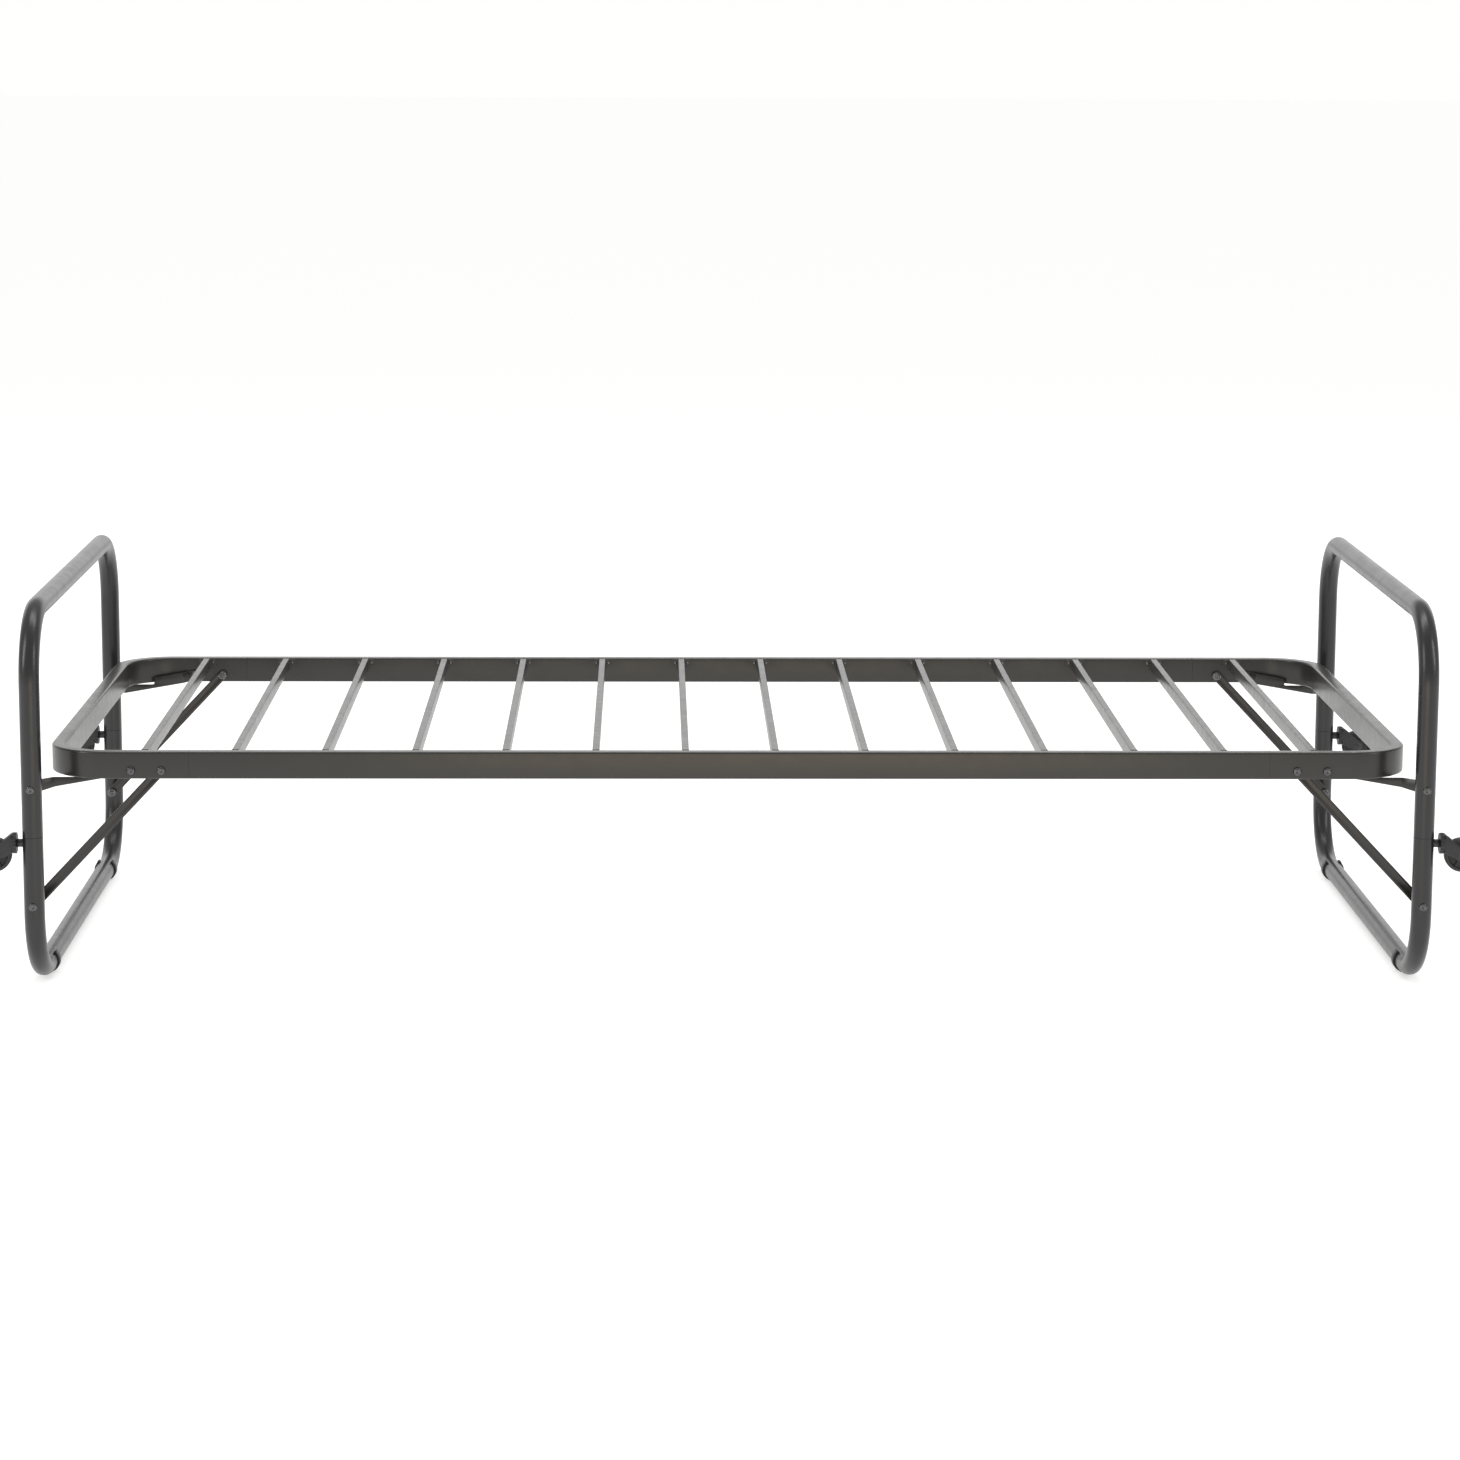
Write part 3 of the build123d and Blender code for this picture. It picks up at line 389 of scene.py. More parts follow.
def close_up(piece):
    """Merges doubles, turns the normals outwards, and shades smooth with its sharp edges kept."""
    mesh = piece.data
    work = bmesh.new()
    work.from_mesh(mesh)
    bmesh.ops.remove_doubles(work, verts=work.verts, dist=MERGE)
    bmesh.ops.recalc_face_normals(work, faces=work.faces)
    open_edges = sum(1 for edge in work.edges if len(edge.link_faces) != 2)
    work.to_mesh(mesh)
    work.free()
    mesh.polygons.foreach_set("use_smooth", [True] * len(mesh.polygons))
    mesh.set_sharp_from_angle(angle=SHARP)
    if open_edges:
        print(piece.name, "has", open_edges, "open edges")
    return piece


def settle(piece, body, slot, *nodes):
    """Gives the piece the finish of its slot, hangs it from its body and hides the measured nodes it stands
    for.
    """
    piece.data.materials.clear()
    piece.data.materials.append(finish_of[slot])
    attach(piece, body)
    if nodes:
        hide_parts(*nodes)
    return piece


print("edges sharper than", round(SHARP * 180 / pi), "degrees stay sharp")


# %% Turned solids
def ring_walls(count, segments, closed=False):
    """The faces between neighbouring rings of points, and from the last back to the first if closed."""
    faces = []
    for ring in range(count if closed else count - 1):
        low, high = ring * segments, (ring + 1) % count * segments
        for step in range(segments):
            after = (step + 1) % segments
            faces.append((low + step, low + after, high + after, high + step))
    return faces


def turned(name, rings, segments=36):
    """A solid of rings round Z. A ring is (radius, height), and a radius may be a function of the angle."""
    points = []
    for radius, height in rings:
        for step in range(segments):
            angle = 2 * pi * step / segments
            reach = radius(angle) if callable(radius) else radius
            points.append((reach * MM * cos(angle), reach * MM * sin(angle), height * MM))
    faces = ring_walls(len(rings), segments)
    faces.append(tuple(reversed(range(segments))))
    faces.append(tuple((len(rings) - 1) * segments + step for step in range(segments)))
    return close_up(mesh_object(name, points, faces))


print("tools ready, merging points closer than", MERGE / MM, "mm")

# %% [markdown]
# ## Geometry Nodes helpers
# Tubes follow a path and screws repeat, so node trees make them. Each tree has named inputs, and a small
# holder object carries the path or the points. The holder is evaluated, its result is kept as a plain mesh,
# and the holder goes away, so no modifier is left on a finished piece.

# %% Tree helpers
def new_tree(name, inputs):
    tree = bpy.data.node_groups.new(name, "GeometryNodeTree")
    tree.interface.new_socket("Geometry", in_out="INPUT", socket_type="NodeSocketGeometry")
    for label, kind in inputs:
        tree.interface.new_socket(label, in_out="INPUT", socket_type="NodeSocket" + kind)
    tree.interface.new_socket("Geometry", in_out="OUTPUT", socket_type="NodeSocketGeometry")
    given = tree.nodes.new("NodeGroupInput")
    return tree, given.outputs


def close_tree(tree, geometry, given):
    """Every tree ends in Realize Instances and Set Material."""
    real = place(tree, "GeometryNodeRealizeInstances", {"Geometry": geometry})
    dressed = place(tree, "GeometryNodeSetMaterial",
                    {"Geometry": real.outputs[0], "Material": given["Finish"]})
    end = tree.nodes.new("NodeGroupOutput")
    tree.links.new(dressed.outputs[0], end.inputs["Geometry"])


def outline(tree, width, height, radius, steps):
    """A rectangle with rounded corners, to sweep along a path or to be one."""
    box = place(tree, "GeometryNodeCurvePrimitiveQuadrilateral", {"Width": width, "Height": height})
    return place(tree, "GeometryNodeFilletCurve", {"Curve": box.outputs[0], "Count": steps, "Radius": radius},
                 mode="POLY").outputs[0]


def path_holder(points):
    """An object whose mesh is one open line of edges."""
    mesh = bpy.data.meshes.new("holder")
    edges = [(n, n + 1) for n in range(len(points) - 1)]
    mesh.from_pydata([tuple(point) for point in points], edges, [])
    return new_object("holder", mesh)


def grow(name, tree, holder, **values):
    """Runs the tree on its holder and returns the result as a plain mesh object."""
    modifier = holder.modifiers.new("grow", "NODES")
    modifier.node_group = tree
    named = {label.replace("_", " "): value for label, value in values.items()}
    for item in tree.interface.items_tree:
        if item.in_out == "INPUT" and item.name in named:
            modifier[item.identifier] = named[item.name]
    ready = holder.evaluated_get(bpy.context.evaluated_depsgraph_get())
    piece = new_object(name, bpy.data.meshes.new_from_object(ready))
    bpy.data.objects.remove(holder)
    return close_up(piece)


print("tree helpers ready")

# %% [markdown]
# ## Bent tubes
# All long members are tubes: the loops are round, the rim is a flat oblong tube on edge. A tube bender
# turns a straight path into one with even bends, and a tree can do the same: the path's corners are
# filleted and a rounded rectangle is swept along it. When the edge radius is half the side, that rectangle
# is a circle, so one tree makes both kinds. The last points of a path are drawn in slightly, as a deburred
# tube end is, and where two tubes butt together this leaves the fine seam that the real joint shows.

# %% The bent tube tree
bent_tube, tube_in = new_tree("bent tube", [("Width", "Float"), ("Height", "Float"), ("Edge", "Float"),
                                            ("Edge Steps", "Int"), ("Bend", "Float"), ("Bend Steps", "Int"),
                                            ("End Taper", "Float"), ("Finish", "Material")])
tube_path = place(bent_tube, "GeometryNodeMeshToCurve", {"Mesh": tube_in["Geometry"]})
tube_bends = place(bent_tube, "GeometryNodeFilletCurve",
                   {"Curve": tube_path.outputs[0], "Count": tube_in["Bend Steps"], "Radius": tube_in["Bend"]},
                   mode="POLY")
tube_outline = outline(bent_tube, tube_in["Width"], tube_in["Height"], tube_in["Edge"], tube_in["Edge Steps"])
tube_ends = place(bent_tube, "GeometryNodeCurveEndpointSelection")
tube_draw = maths(bent_tube, "MULTIPLY_ADD", tube_ends.outputs[0], tube_in["End Taper"], 1.0)
tube_skin = place(bent_tube, "GeometryNodeCurveToMesh",
                  {"Curve": tube_bends.outputs[0], "Profile Curve": tube_outline,
                   "Scale": tube_draw, "Fill Caps": True})
close_tree(bent_tube, tube_skin.outputs[0], tube_in)
print("bent tube inputs:", names(tube_in))

# %% A tube along straight runs
END_INSET, END_TAPER = 0.25 * MM, -0.03
SUPPORT = 1.0 * MM
SMALL_EDGE = 0.01
SMALL_EDGE_STEPS, ROUND_STEPS, BEND_STEPS = 8, 12, 28


def beside(corner, towards, distance):
    """The point at a distance from a corner, on the way towards another."""
    return corner + (towards - corner).normalized() * distance


def tube_along(name, points, width, height, edge, bend, finish):
    """A tube along straight runs. Its ends are drawn in, and a support ring stands just outside each bend,
    so that smooth shading doesn't spread the bend's first facet over the whole straight run."""
    corners = [Vector(point) for point in points]
    route = [corners[0], beside(corners[0], corners[1], END_INSET)]
    for before, corner, after in zip(corners, corners[1:-1], corners[2:]):
        route += [beside(corner, before, bend + SUPPORT), corner, beside(corner, after, bend + SUPPORT)]
    route += [beside(corners[-1], corners[-2], END_INSET), corners[-1]]
    return grow(name, bent_tube, path_holder(route), Width=width, Height=height, Edge=edge,
                Edge_Steps=SMALL_EDGE_STEPS if edge < SMALL_EDGE else ROUND_STEPS, Bend=bend,
                Bend_Steps=BEND_STEPS, End_Taper=END_TAPER, Finish=finish)


print("a bend takes", BEND_STEPS, "steps, a round outline", 4 * ROUND_STEPS)

# %% [markdown]
# ### The rim
# The rim is made of two straight side rails and two end bows with rounded corners, plugged into each other.
# Four separate tubes are made rather than one closed ring, because the real seams show and each piece can
# be replaced.

# %% Side rails and end bows
RIM_CORNER, RIM_EDGE = 0.09, 0.003
rail_low, rail_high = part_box("side_rail_back")
bow_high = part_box("end_bow_right")[1]
rim_width = rail_high.y - rail_low.y
rim_height = rail_high.z - rail_low.z
rim_y = (rail_low.y + rail_high.y) / 2
rim_z = (rail_low.z + rail_high.z) / 2
rim_end_x = bow_high.x - rim_width / 2
rim_bend = RIM_CORNER - rim_width / 2
rim_tube = {"width": rim_width, "height": rim_height, "edge": RIM_EDGE, "bend": rim_bend, "finish": rim_coat}
for side_name, side in SIDES.items():
    run = [(rail_low.x, side * rim_y, rim_z), (rail_high.x, side * rim_y, rim_z)]
    rail = tube_along(f"side_rail_{side_name}_tube", run, **rim_tube)
    settle(rail, "platform", "frame_paint", f"side_rail_{side_name}")
for end_name, end in ENDS.items():
    run = [(end * rail_high.x, -rim_y, rim_z), (end * rim_end_x, -rim_y, rim_z),
           (end * rim_end_x, rim_y, rim_z), (end * rail_high.x, rim_y, rim_z)]
    bow = tube_along(f"end_bow_{end_name}_tube", run, **rim_tube)
    settle(bow, "platform", "frame_paint", f"end_bow_{end_name}")
print("rim tube in mm:", round(rim_width / MM, 1), "x", round(rim_height / MM, 1))
print("faces in a bow:", len(bow.data.polygons))

# %% [markdown]
# ### The end loops
# Each end is one closed loop of round tube in two halves, which meet inside the legs just above the
# castors.

# %% Upper and lower hoops
LOOP_BEND = 0.10
ALMOST_ROUND = 0.9999
hoop_low, hoop_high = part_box("upper_hoop_right")
foot_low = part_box("lower_hoop_right")[0]
tube_radius = (hoop_high.x - hoop_low.x) / 2
loop_x = (hoop_high.x + hoop_low.x) / 2
leg_y = hoop_high.y - tube_radius
seam_z = hoop_low.z
loop_tube = {"width": 2 * tube_radius, "height": 2 * tube_radius, "edge": tube_radius * ALMOST_ROUND,
             "bend": LOOP_BEND, "finish": tube_coat}
cross_heights = {"upper_hoop": hoop_high.z - tube_radius, "lower_hoop": foot_low.z + tube_radius}
for end_name, end in ENDS.items():
    for part, cross_z in cross_heights.items():
        run = [(end * loop_x, -leg_y, seam_z), (end * loop_x, -leg_y, cross_z),
               (end * loop_x, leg_y, cross_z), (end * loop_x, leg_y, seam_z)]
        hoop = tube_along(f"{part}_{end_name}_tube", run, **loop_tube)
        settle(hoop, f"loop_{end_name}", "tube_paint", f"{part}_{end_name}")
print("loop tube diameter in mm:", round(2 * tube_radius / MM, 1))
print("faces in a hoop:", len(hoop.data.polygons))

# %% [markdown]
# ### The cross bars
# Fourteen equal bars at an even pitch are a textbook case for instances: one bar is swept once and a Mesh
# Line repeats it along the bed.

# %% The cross bar tree
BAR_EDGE, BAR_EDGE_STEPS = 0.0015, 5
bar_row, bar_in = new_tree("row of bars", [("Count", "Int"), ("Pitch", "Vector"), ("Start", "Vector"),
                                           ("Width", "Float"), ("Height", "Float"), ("Edge", "Float"),
                                           ("Finish", "Material")])
bar_line = place(bar_row, "GeometryNodeMeshLine",
                 {"Count": bar_in["Count"], "Start Location": bar_in["Start"], "Offset": bar_in["Pitch"]})
bar_path = place(bar_row, "GeometryNodeMeshToCurve", {"Mesh": bar_in["Geometry"]})
bar_outline = outline(bar_row, bar_in["Width"], bar_in["Height"], bar_in["Edge"], BAR_EDGE_STEPS)
bar_skin = place(bar_row, "GeometryNodeCurveToMesh",
                 {"Curve": bar_path.outputs[0], "Profile Curve": bar_outline, "Fill Caps": True})
bar_copies = place(bar_row, "GeometryNodeInstanceOnPoints",
                   {"Points": bar_line.outputs[0], "Instance": bar_skin.outputs[0]})
close_tree(bar_row, bar_copies.outputs[0], bar_in)
print("row of bars inputs:", names(bar_in))

# %% Cross bars
BAR_COUNT = 14
bar_nodes = [f"cross_bar_{n:02d}" for n in range(1, BAR_COUNT + 1)]
bar_low, bar_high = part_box(bar_nodes[0])
bar_x = [(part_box(node)[0].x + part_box(node)[1].x) / 2 for node in bar_nodes]
bar_pitch = (bar_x[-1] - bar_x[0]) / (BAR_COUNT - 1)
bar_z = (bar_low.z + bar_high.z) / 2
bar_width, bar_height = bar_high.x - bar_low.x, bar_high.z - bar_low.z
bars = grow("cross_bar_tubes", bar_row, path_holder([(0, bar_low.y, 0), (0, bar_high.y, 0)]),
            Count=BAR_COUNT, Pitch=(bar_pitch, 0, 0), Start=(bar_x[0], 0, bar_z),
            Width=bar_width, Height=bar_height, Edge=BAR_EDGE, Finish=rim_coat)
settle(bars, "platform", "frame_paint", *bar_nodes)
print("bars:", BAR_COUNT, "pitch in mm:", round(bar_pitch / MM, 1), "faces:", len(bars.data.polygons))

# %% [markdown]
# ## Small parts on points
# Plates, rivets, screws and nuts all sit at known points and look along a known direction. One tree serves
# them all: a holder carries the points and a "facing" vector on each, the tree turns a template to that
# vector, and every copy becomes real. The templates are turned solids, made ring by ring, and are thrown
# away afterwards.

# %% The small parts tree
on_points, part_in = new_tree("parts on points", [("Template", "Object"), ("Finish", "Material")])
part_info = place(on_points, "GeometryNodeObjectInfo", {"Object": part_in["Template"]})
part_facing = place(on_points, "GeometryNodeInputNamedAttribute", {"Name": "facing"},
                    data_type="FLOAT_VECTOR")
part_turn = place(on_points, "FunctionNodeAlignRotationToVector", {"Vector": part_facing.outputs[0]},
                  axis="Z")
part_copies = place(on_points, "GeometryNodeInstanceOnPoints",
                    {"Points": part_in["Geometry"], "Instance": part_info.outputs["Geometry"],
                     "Rotation": part_turn.outputs[0]})
close_tree(on_points, part_copies.outputs[0], part_in)
print("parts on points inputs:", names(part_in))


# %% Setting parts out
OUTWARDS, INWARDS = 1, -1


def mirrored(places_x, y, z, facing):
    """(point, facing) pairs on both long sides of the bed. A facing of 1 looks outwards and -1 inwards."""
    return [((x, side * y, z), (0, side * facing, 0)) for x in places_x for side in (-1, 1)]


def set_out(name, template, places, body, slot, *nodes):
    """Copies of the template at each (point, facing), as one settled piece."""
    mesh = bpy.data.meshes.new("holder")
    mesh.from_pydata([tuple(point) for point, facing in places], [], [])
    facings = mesh.attributes.new("facing", "FLOAT_VECTOR", "POINT")
    for item, (point, facing) in zip(facings.data, places):
        item.vector = facing
    piece = grow(name, on_points, new_object("holder", mesh), Template=template,
                 Finish=finish_of[slot])
    bpy.data.objects.remove(template)
    print(name, "copies:", len(places), "faces:", len(piece.data.polygons))
    settle(piece, body, slot, *nodes)


# %% [markdown]
# ### End plates, rivets and weld beads
# Every bar ends on a small plate that is riveted to the rim's inner face. The bar is welded to its plate,
# and the bead is what the eye finds in that corner, so it is a piece of its own: a wavy ring round the
# bar's end.

# %% Rivet and plate templates
PLATE_SIZE, PLATE_TOP_SIZE = (30, 14, 2), (29.4, 13.4, 1.8)
PLATE_EDGE_START, PLATE_THICK = 0.9, 1.2
RIVET_SEGMENTS, PLATE_SEGMENTS, MARCH_STEPS = 20, 96, 40


def hexagon(flats):
    """The radius of a hexagon at an angle, for a turned ring."""
    return lambda angle: flats / 2 / cos((angle % (pi / 3)) - pi / 6)


def plate_ring(width, height, corner):
    """The radius of a rounded rectangle at an angle, found by marching out from its middle."""
    def reach(angle):
        along, up = abs(cos(angle)), abs(sin(angle))
        low, high = 0.0, width
        for _ in range(MARCH_STEPS):
            middle = (low + high) / 2
            over = hypot(max(middle * along - width / 2 + corner, 0),
                         max(middle * up - height / 2 + corner, 0))
            inside = over <= corner and middle * along <= width / 2 and middle * up <= height / 2
            low, high = (middle, high) if inside else (low, middle)
        return low
    return reach


rivet_template = turned("template", [(2.5, 0), (2.5, 0.3), (2.32, 0.72), (1.85, 1.05), (1.3, 1.2),
                                     (0.95, 1.18), (0.85, 0.95), (0.85, 0.55), (0.3, 0.5)], RIVET_SEGMENTS)
plate_outline, plate_top = plate_ring(*PLATE_SIZE), plate_ring(*PLATE_TOP_SIZE)
plate_template = turned("template", [(plate_outline, 0), (plate_outline, PLATE_EDGE_START),
                                     (plate_top, PLATE_THICK)], PLATE_SEGMENTS)
print("template faces:", len(rivet_template.data.polygons), len(plate_template.data.polygons))

# %% Plates and rivets in place
RIVET_OFFSET = 0.010
plate_low, plate_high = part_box("cross_bar_end_plates")
rivet_low, rivet_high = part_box("cross_bar_rivets")
plate_z = (plate_low.z + plate_high.z) / 2
rivet_z = (rivet_low.z + rivet_high.z) / 2
plate_face_y = bar_high.y
set_out("cross_bar_plate_set", plate_template, mirrored(bar_x, rail_low.y, plate_z, INWARDS),
        "platform", "frame_paint", "cross_bar_end_plates")
set_out("cross_bar_rivet_set", rivet_template,
        [((x + turn * RIVET_OFFSET, side * plate_face_y, rivet_z), (0, -side, 0))
         for x in bar_x for side in (-1, 1) for turn in (-1, 1)],
        "platform", "dark_fastener", "cross_bar_rivets")
print("plates in mm, z:", round(plate_low.z / MM, 1), "to", round(plate_high.z / MM, 1))

# %% [markdown]
# ### Weld beads
# A hand-held welder leaves a bead that swells and shrinks a little. A closed outline just larger than the
# bar is swept with a small circle, and a noise moves its points by a few tenths of a millimetre. It is made
# once as a template and set out like the other small parts, turned the same way at each bar end.

# %% Weld bead tree
BEAD_CORNER_STEPS, BEAD_POINTS, BEAD_SIDES = 4, 40, 8
bead_tree, bead_in = new_tree("weld bead", [("Width", "Float"), ("Height", "Float"), ("Corner", "Float"),
                                            ("Bead Radius", "Float"), ("Wander", "Float"), ("Seed", "Float"),
                                            ("Finish", "Material")])
bead_loop = outline(bead_tree, bead_in["Width"], bead_in["Height"], bead_in["Corner"], BEAD_CORNER_STEPS)
bead_even = place(bead_tree, "GeometryNodeResampleCurve", {"Curve": bead_loop, "Count": BEAD_POINTS},
                  mode="COUNT")
bead_circle = place(bead_tree, "GeometryNodeCurvePrimitiveCircle",
                    {"Resolution": BEAD_SIDES, "Radius": bead_in["Bead Radius"]})
bead_skin = place(bead_tree, "GeometryNodeCurveToMesh",
                  {"Curve": bead_even.outputs[0], "Profile Curve": bead_circle.outputs[0]})
bead_noise = place(bead_tree, "ShaderNodeTexNoise", {"W": bead_in["Seed"], "Scale": 500.0, "Detail": 1.0},
                   noise_dimensions="4D")
bead_middle = place(bead_tree, "ShaderNodeVectorMath", {0: bead_noise.outputs["Color"], 1: (0.5, 0.5, 0.5)},
                    operation="SUBTRACT")
bead_shift = place(bead_tree, "ShaderNodeVectorMath", {0: bead_middle.outputs[0], "Scale": bead_in["Wander"]},
                   operation="SCALE")
bead_wavy = place(bead_tree, "GeometryNodeSetPosition",
                  {"Geometry": bead_skin.outputs[0], "Offset": bead_shift.outputs[0]})
close_tree(bead_tree, bead_wavy.outputs[0], bead_in)
print("a bead has", BEAD_POINTS * BEAD_SIDES, "points")

# %% Weld beads in place
BEAD_CORNER, BEAD_RADIUS, BEAD_WANDER, BEAD_SEED, BEAD_DROP = 0.0016, 0.0011, 0.0014, 3.0, 0.0006
bead_template = grow("template", bead_tree, path_holder([(0, 0, 0)]), Width=bar_width, Height=bar_height,
                     Corner=BEAD_CORNER, Bead_Radius=BEAD_RADIUS, Wander=BEAD_WANDER, Seed=BEAD_SEED,
                     Finish=rim_coat)
set_out("weld_bead_set", bead_template, mirrored(bar_x, plate_face_y, bar_z - BEAD_DROP, INWARDS),
        "platform", "frame_paint")

# %% [markdown]
# ## Bolts, nuts and bushes
# The strips turn on button-head bolts: one row of four through the rim at each side, and two through each
# leg. A button head is turned from rings, and its hexagon socket is a ring whose radius follows a hexagon.
# The nuts are lock nuts: a hexagon with its corners chamfered and a round collar that holds the nylon ring.

# %% Bolt, nut and bush templates
HEAD_RADIUS, HEAD_HEIGHT, SHANK_RADIUS = 6.25, 4.2, 4.0
SOCKET_FLATS, NUT_FLATS, NUT_HEIGHT = 5.0, 13.0, 4.4
CROWN_RADIUS, CROWN_STEPS = 2.6, (0, 22, 45, 67, 90)


def bolt_template(shank):
    """A button head on the XY plane, looking up, with its shank below."""
    crown = [(HEAD_RADIUS - CROWN_RADIUS * (1 - cos(radians(step))),
              HEAD_HEIGHT - CROWN_RADIUS * (1 - sin(radians(step)))) for step in CROWN_STEPS]
    rings = [(0.6, -shank), (SHANK_RADIUS - 0.6, -shank), (SHANK_RADIUS, -shank + 0.6), (SHANK_RADIUS, 0),
             (HEAD_RADIUS - 0.25, 0), (HEAD_RADIUS, 0.25), *crown, (hexagon(SOCKET_FLATS + 0.5), HEAD_HEIGHT),
             (hexagon(SOCKET_FLATS), HEAD_HEIGHT - 0.3), (hexagon(SOCKET_FLATS), HEAD_HEIGHT - 2.4),
             (0.4, HEAD_HEIGHT - 2.9)]
    return turned("template", rings)


def chamfered_hexagon(flats, limit):
    """A hexagon whose corners are cut back to a circle."""
    full = hexagon(flats)
    return lambda angle: min(full(angle), limit)


def nut_template():
    """A lock nut on the XY plane; its collar looks up."""
    rings = [(NUT_FLATS / 2 - 0.3, 0), (chamfered_hexagon(NUT_FLATS, 7.0), 0.25),
             (chamfered_hexagon(NUT_FLATS, 7.45), 0.6), (hexagon(NUT_FLATS), 0.95),
             (hexagon(NUT_FLATS), 2.6), (chamfered_hexagon(NUT_FLATS, 7.2), 2.9),
             (chamfered_hexagon(NUT_FLATS, 6.6), 3.15), (5.9, 3.3), (5.75, 4.1), (5.4, NUT_HEIGHT),
             (4.6, NUT_HEIGHT), (4.25, 3.9), (4.0, 3.7), (3.9, 4.1), (3.4, 4.35), (0.4, 4.35)]
    return turned("template", rings)


def bush_template(length):
    """A plain spacer with broken edges."""
    return turned("template", [(3.9, 0), (6.1, 0), (6.5, 0.4), (6.5, length), (3.9, length)])


print("head", 2 * HEAD_RADIUS, "mm, nut", NUT_FLATS, "mm across flats")

# %% Bolts and nuts of the rim
rail_pivots_x = [end * abs(joint_at[name].x)
                 for name in ("fold_right", "brace_swing_right") for end in (-1, 1)]
rail_pivot_z = joint_at["fold_right"].z
bolt_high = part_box("rail_pivot_bolts")[1]
nut_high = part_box("rail_pivot_nuts")[1]
nut_inner_y = nut_high.y - NUT_HEIGHT * MM
rail_shank = (rail_high.y - nut_inner_y) / MM
set_out("rail_bolt_set", bolt_template(rail_shank),
        mirrored(rail_pivots_x, rail_high.y, rail_pivot_z, OUTWARDS),
        "platform", "dark_fastener", "rail_pivot_bolts")
set_out("rail_nut_set", nut_template(), mirrored(rail_pivots_x, nut_high.y, rail_pivot_z, INWARDS),
        "platform", "dark_fastener", "rail_pivot_nuts")
print("rail bolts reach in mm, y:", round(bolt_high.y / MM, 2), "shank", round(rail_shank, 1))

# %% Bolts, nuts and bushes of the legs
BUSH_START_Y, BUSH_SHORT_OF_LEG = 0.43, 13.0
link_leg_z = joint_at["leg_turn_right"].z
brace_low, brace_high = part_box("brace_studs_right")
brace_leg_z = (brace_low.z + brace_high.z) / 2
link_nut_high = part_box("link_nuts_right")[1]
head_seat_y = leg_y + sqrt(tube_radius**2 - (HEAD_RADIUS * MM) ** 2)
for end_name, end in ENDS.items():
    loop, x = f"loop_{end_name}", end * loop_x
    upper_shank = (head_seat_y - (link_nut_high.y - NUT_HEIGHT * MM)) / MM
    lower_shank = (head_seat_y - BUSH_START_Y) / MM
    for name, z, shank in (("upper", link_leg_z, upper_shank), ("lower", brace_leg_z, lower_shank)):
        set_out(f"leg_bolts_{name}_{end_name}", bolt_template(shank), mirrored([x], head_seat_y, z, OUTWARDS),
                loop, "dark_fastener", f"leg_pivot_bolts_{end_name}")
    set_out(f"link_nut_set_{end_name}", nut_template(), mirrored([x], link_nut_high.y, link_leg_z, INWARDS),
            loop, "dark_fastener", f"link_nuts_{end_name}")
    set_out(f"brace_bush_set_{end_name}", bush_template((leg_y - BUSH_START_Y) / MM - BUSH_SHORT_OF_LEG),
            mirrored([x], BUSH_START_Y, brace_leg_z, OUTWARDS), loop, "dark_fastener",
            f"brace_bushes_{end_name}")
    set_out(f"brace_stud_set_{end_name}", nut_template(), mirrored([x], nut_high.y, brace_leg_z, INWARDS),
            f"braces_{end_name}", "dark_fastener", f"brace_studs_{end_name}")
print("leg bolt shanks in mm:", round(upper_shank, 1), round(lower_shank, 1))

# %% [markdown]
# ## Flat strips and moulded parts
# The strips, the clips and the castor forks have exact shapes in the measured model, where every edge is
# knife sharp. Real pressed steel and moulded nylon have edges rounded by a few tenths of a millimetre, and
# those thin highlights are what makes a part look real. So a copy of the measured mesh is merged, its flat
# areas are joined into single faces, and a Bevel modifier rounds the edges. The measured node itself isn't
# touched.

# %% A copy with rounded edges
BEVEL_STEPS, BEVEL_FROM, FLAT_WITHIN, COPY_MERGE = 2, radians(35), radians(1.0), 0.02 * MM


def rounded_copy(name, node, radius):
    """A merged copy of a measured node with its sharp edges rounded."""
    mesh = frame["nodes"][node].data.copy()
    mesh.name = name
    piece = new_object(name, mesh)
    work = bmesh.new()
    work.from_mesh(mesh)
    bmesh.ops.remove_doubles(work, verts=work.verts, dist=COPY_MERGE)
    bmesh.ops.dissolve_limit(work, angle_limit=FLAT_WITHIN, verts=work.verts, edges=work.edges)
    bmesh.ops.recalc_face_normals(work, faces=work.faces)
    work.to_mesh(mesh)
    work.free()
    if mesh.has_custom_normals:
        with bpy.context.temp_override(object=piece, active_object=piece):
            bpy.ops.mesh.customdata_custom_splitnormals_clear()
    bevel = piece.modifiers.new("rounded edges", "BEVEL")
    bevel.width = radius
    bevel.segments = BEVEL_STEPS
    bevel.limit_method = "ANGLE"
    bevel.angle_limit = BEVEL_FROM
    ready = piece.evaluated_get(bpy.context.evaluated_depsgraph_get())
    rounded = bpy.data.meshes.new_from_object(ready)
    piece.modifiers.clear()
    piece.data = rounded
    bpy.data.meshes.remove(mesh)
    rounded.name = name
    rounded.polygons.foreach_set("use_smooth", [True] * len(rounded.polygons))
    rounded.set_sharp_from_angle(angle=SHARP)
    print(name, "faces:", len(rounded.polygons))
    return piece


print("edges sharper than", round(BEVEL_FROM * 180 / pi), "degrees are rounded")

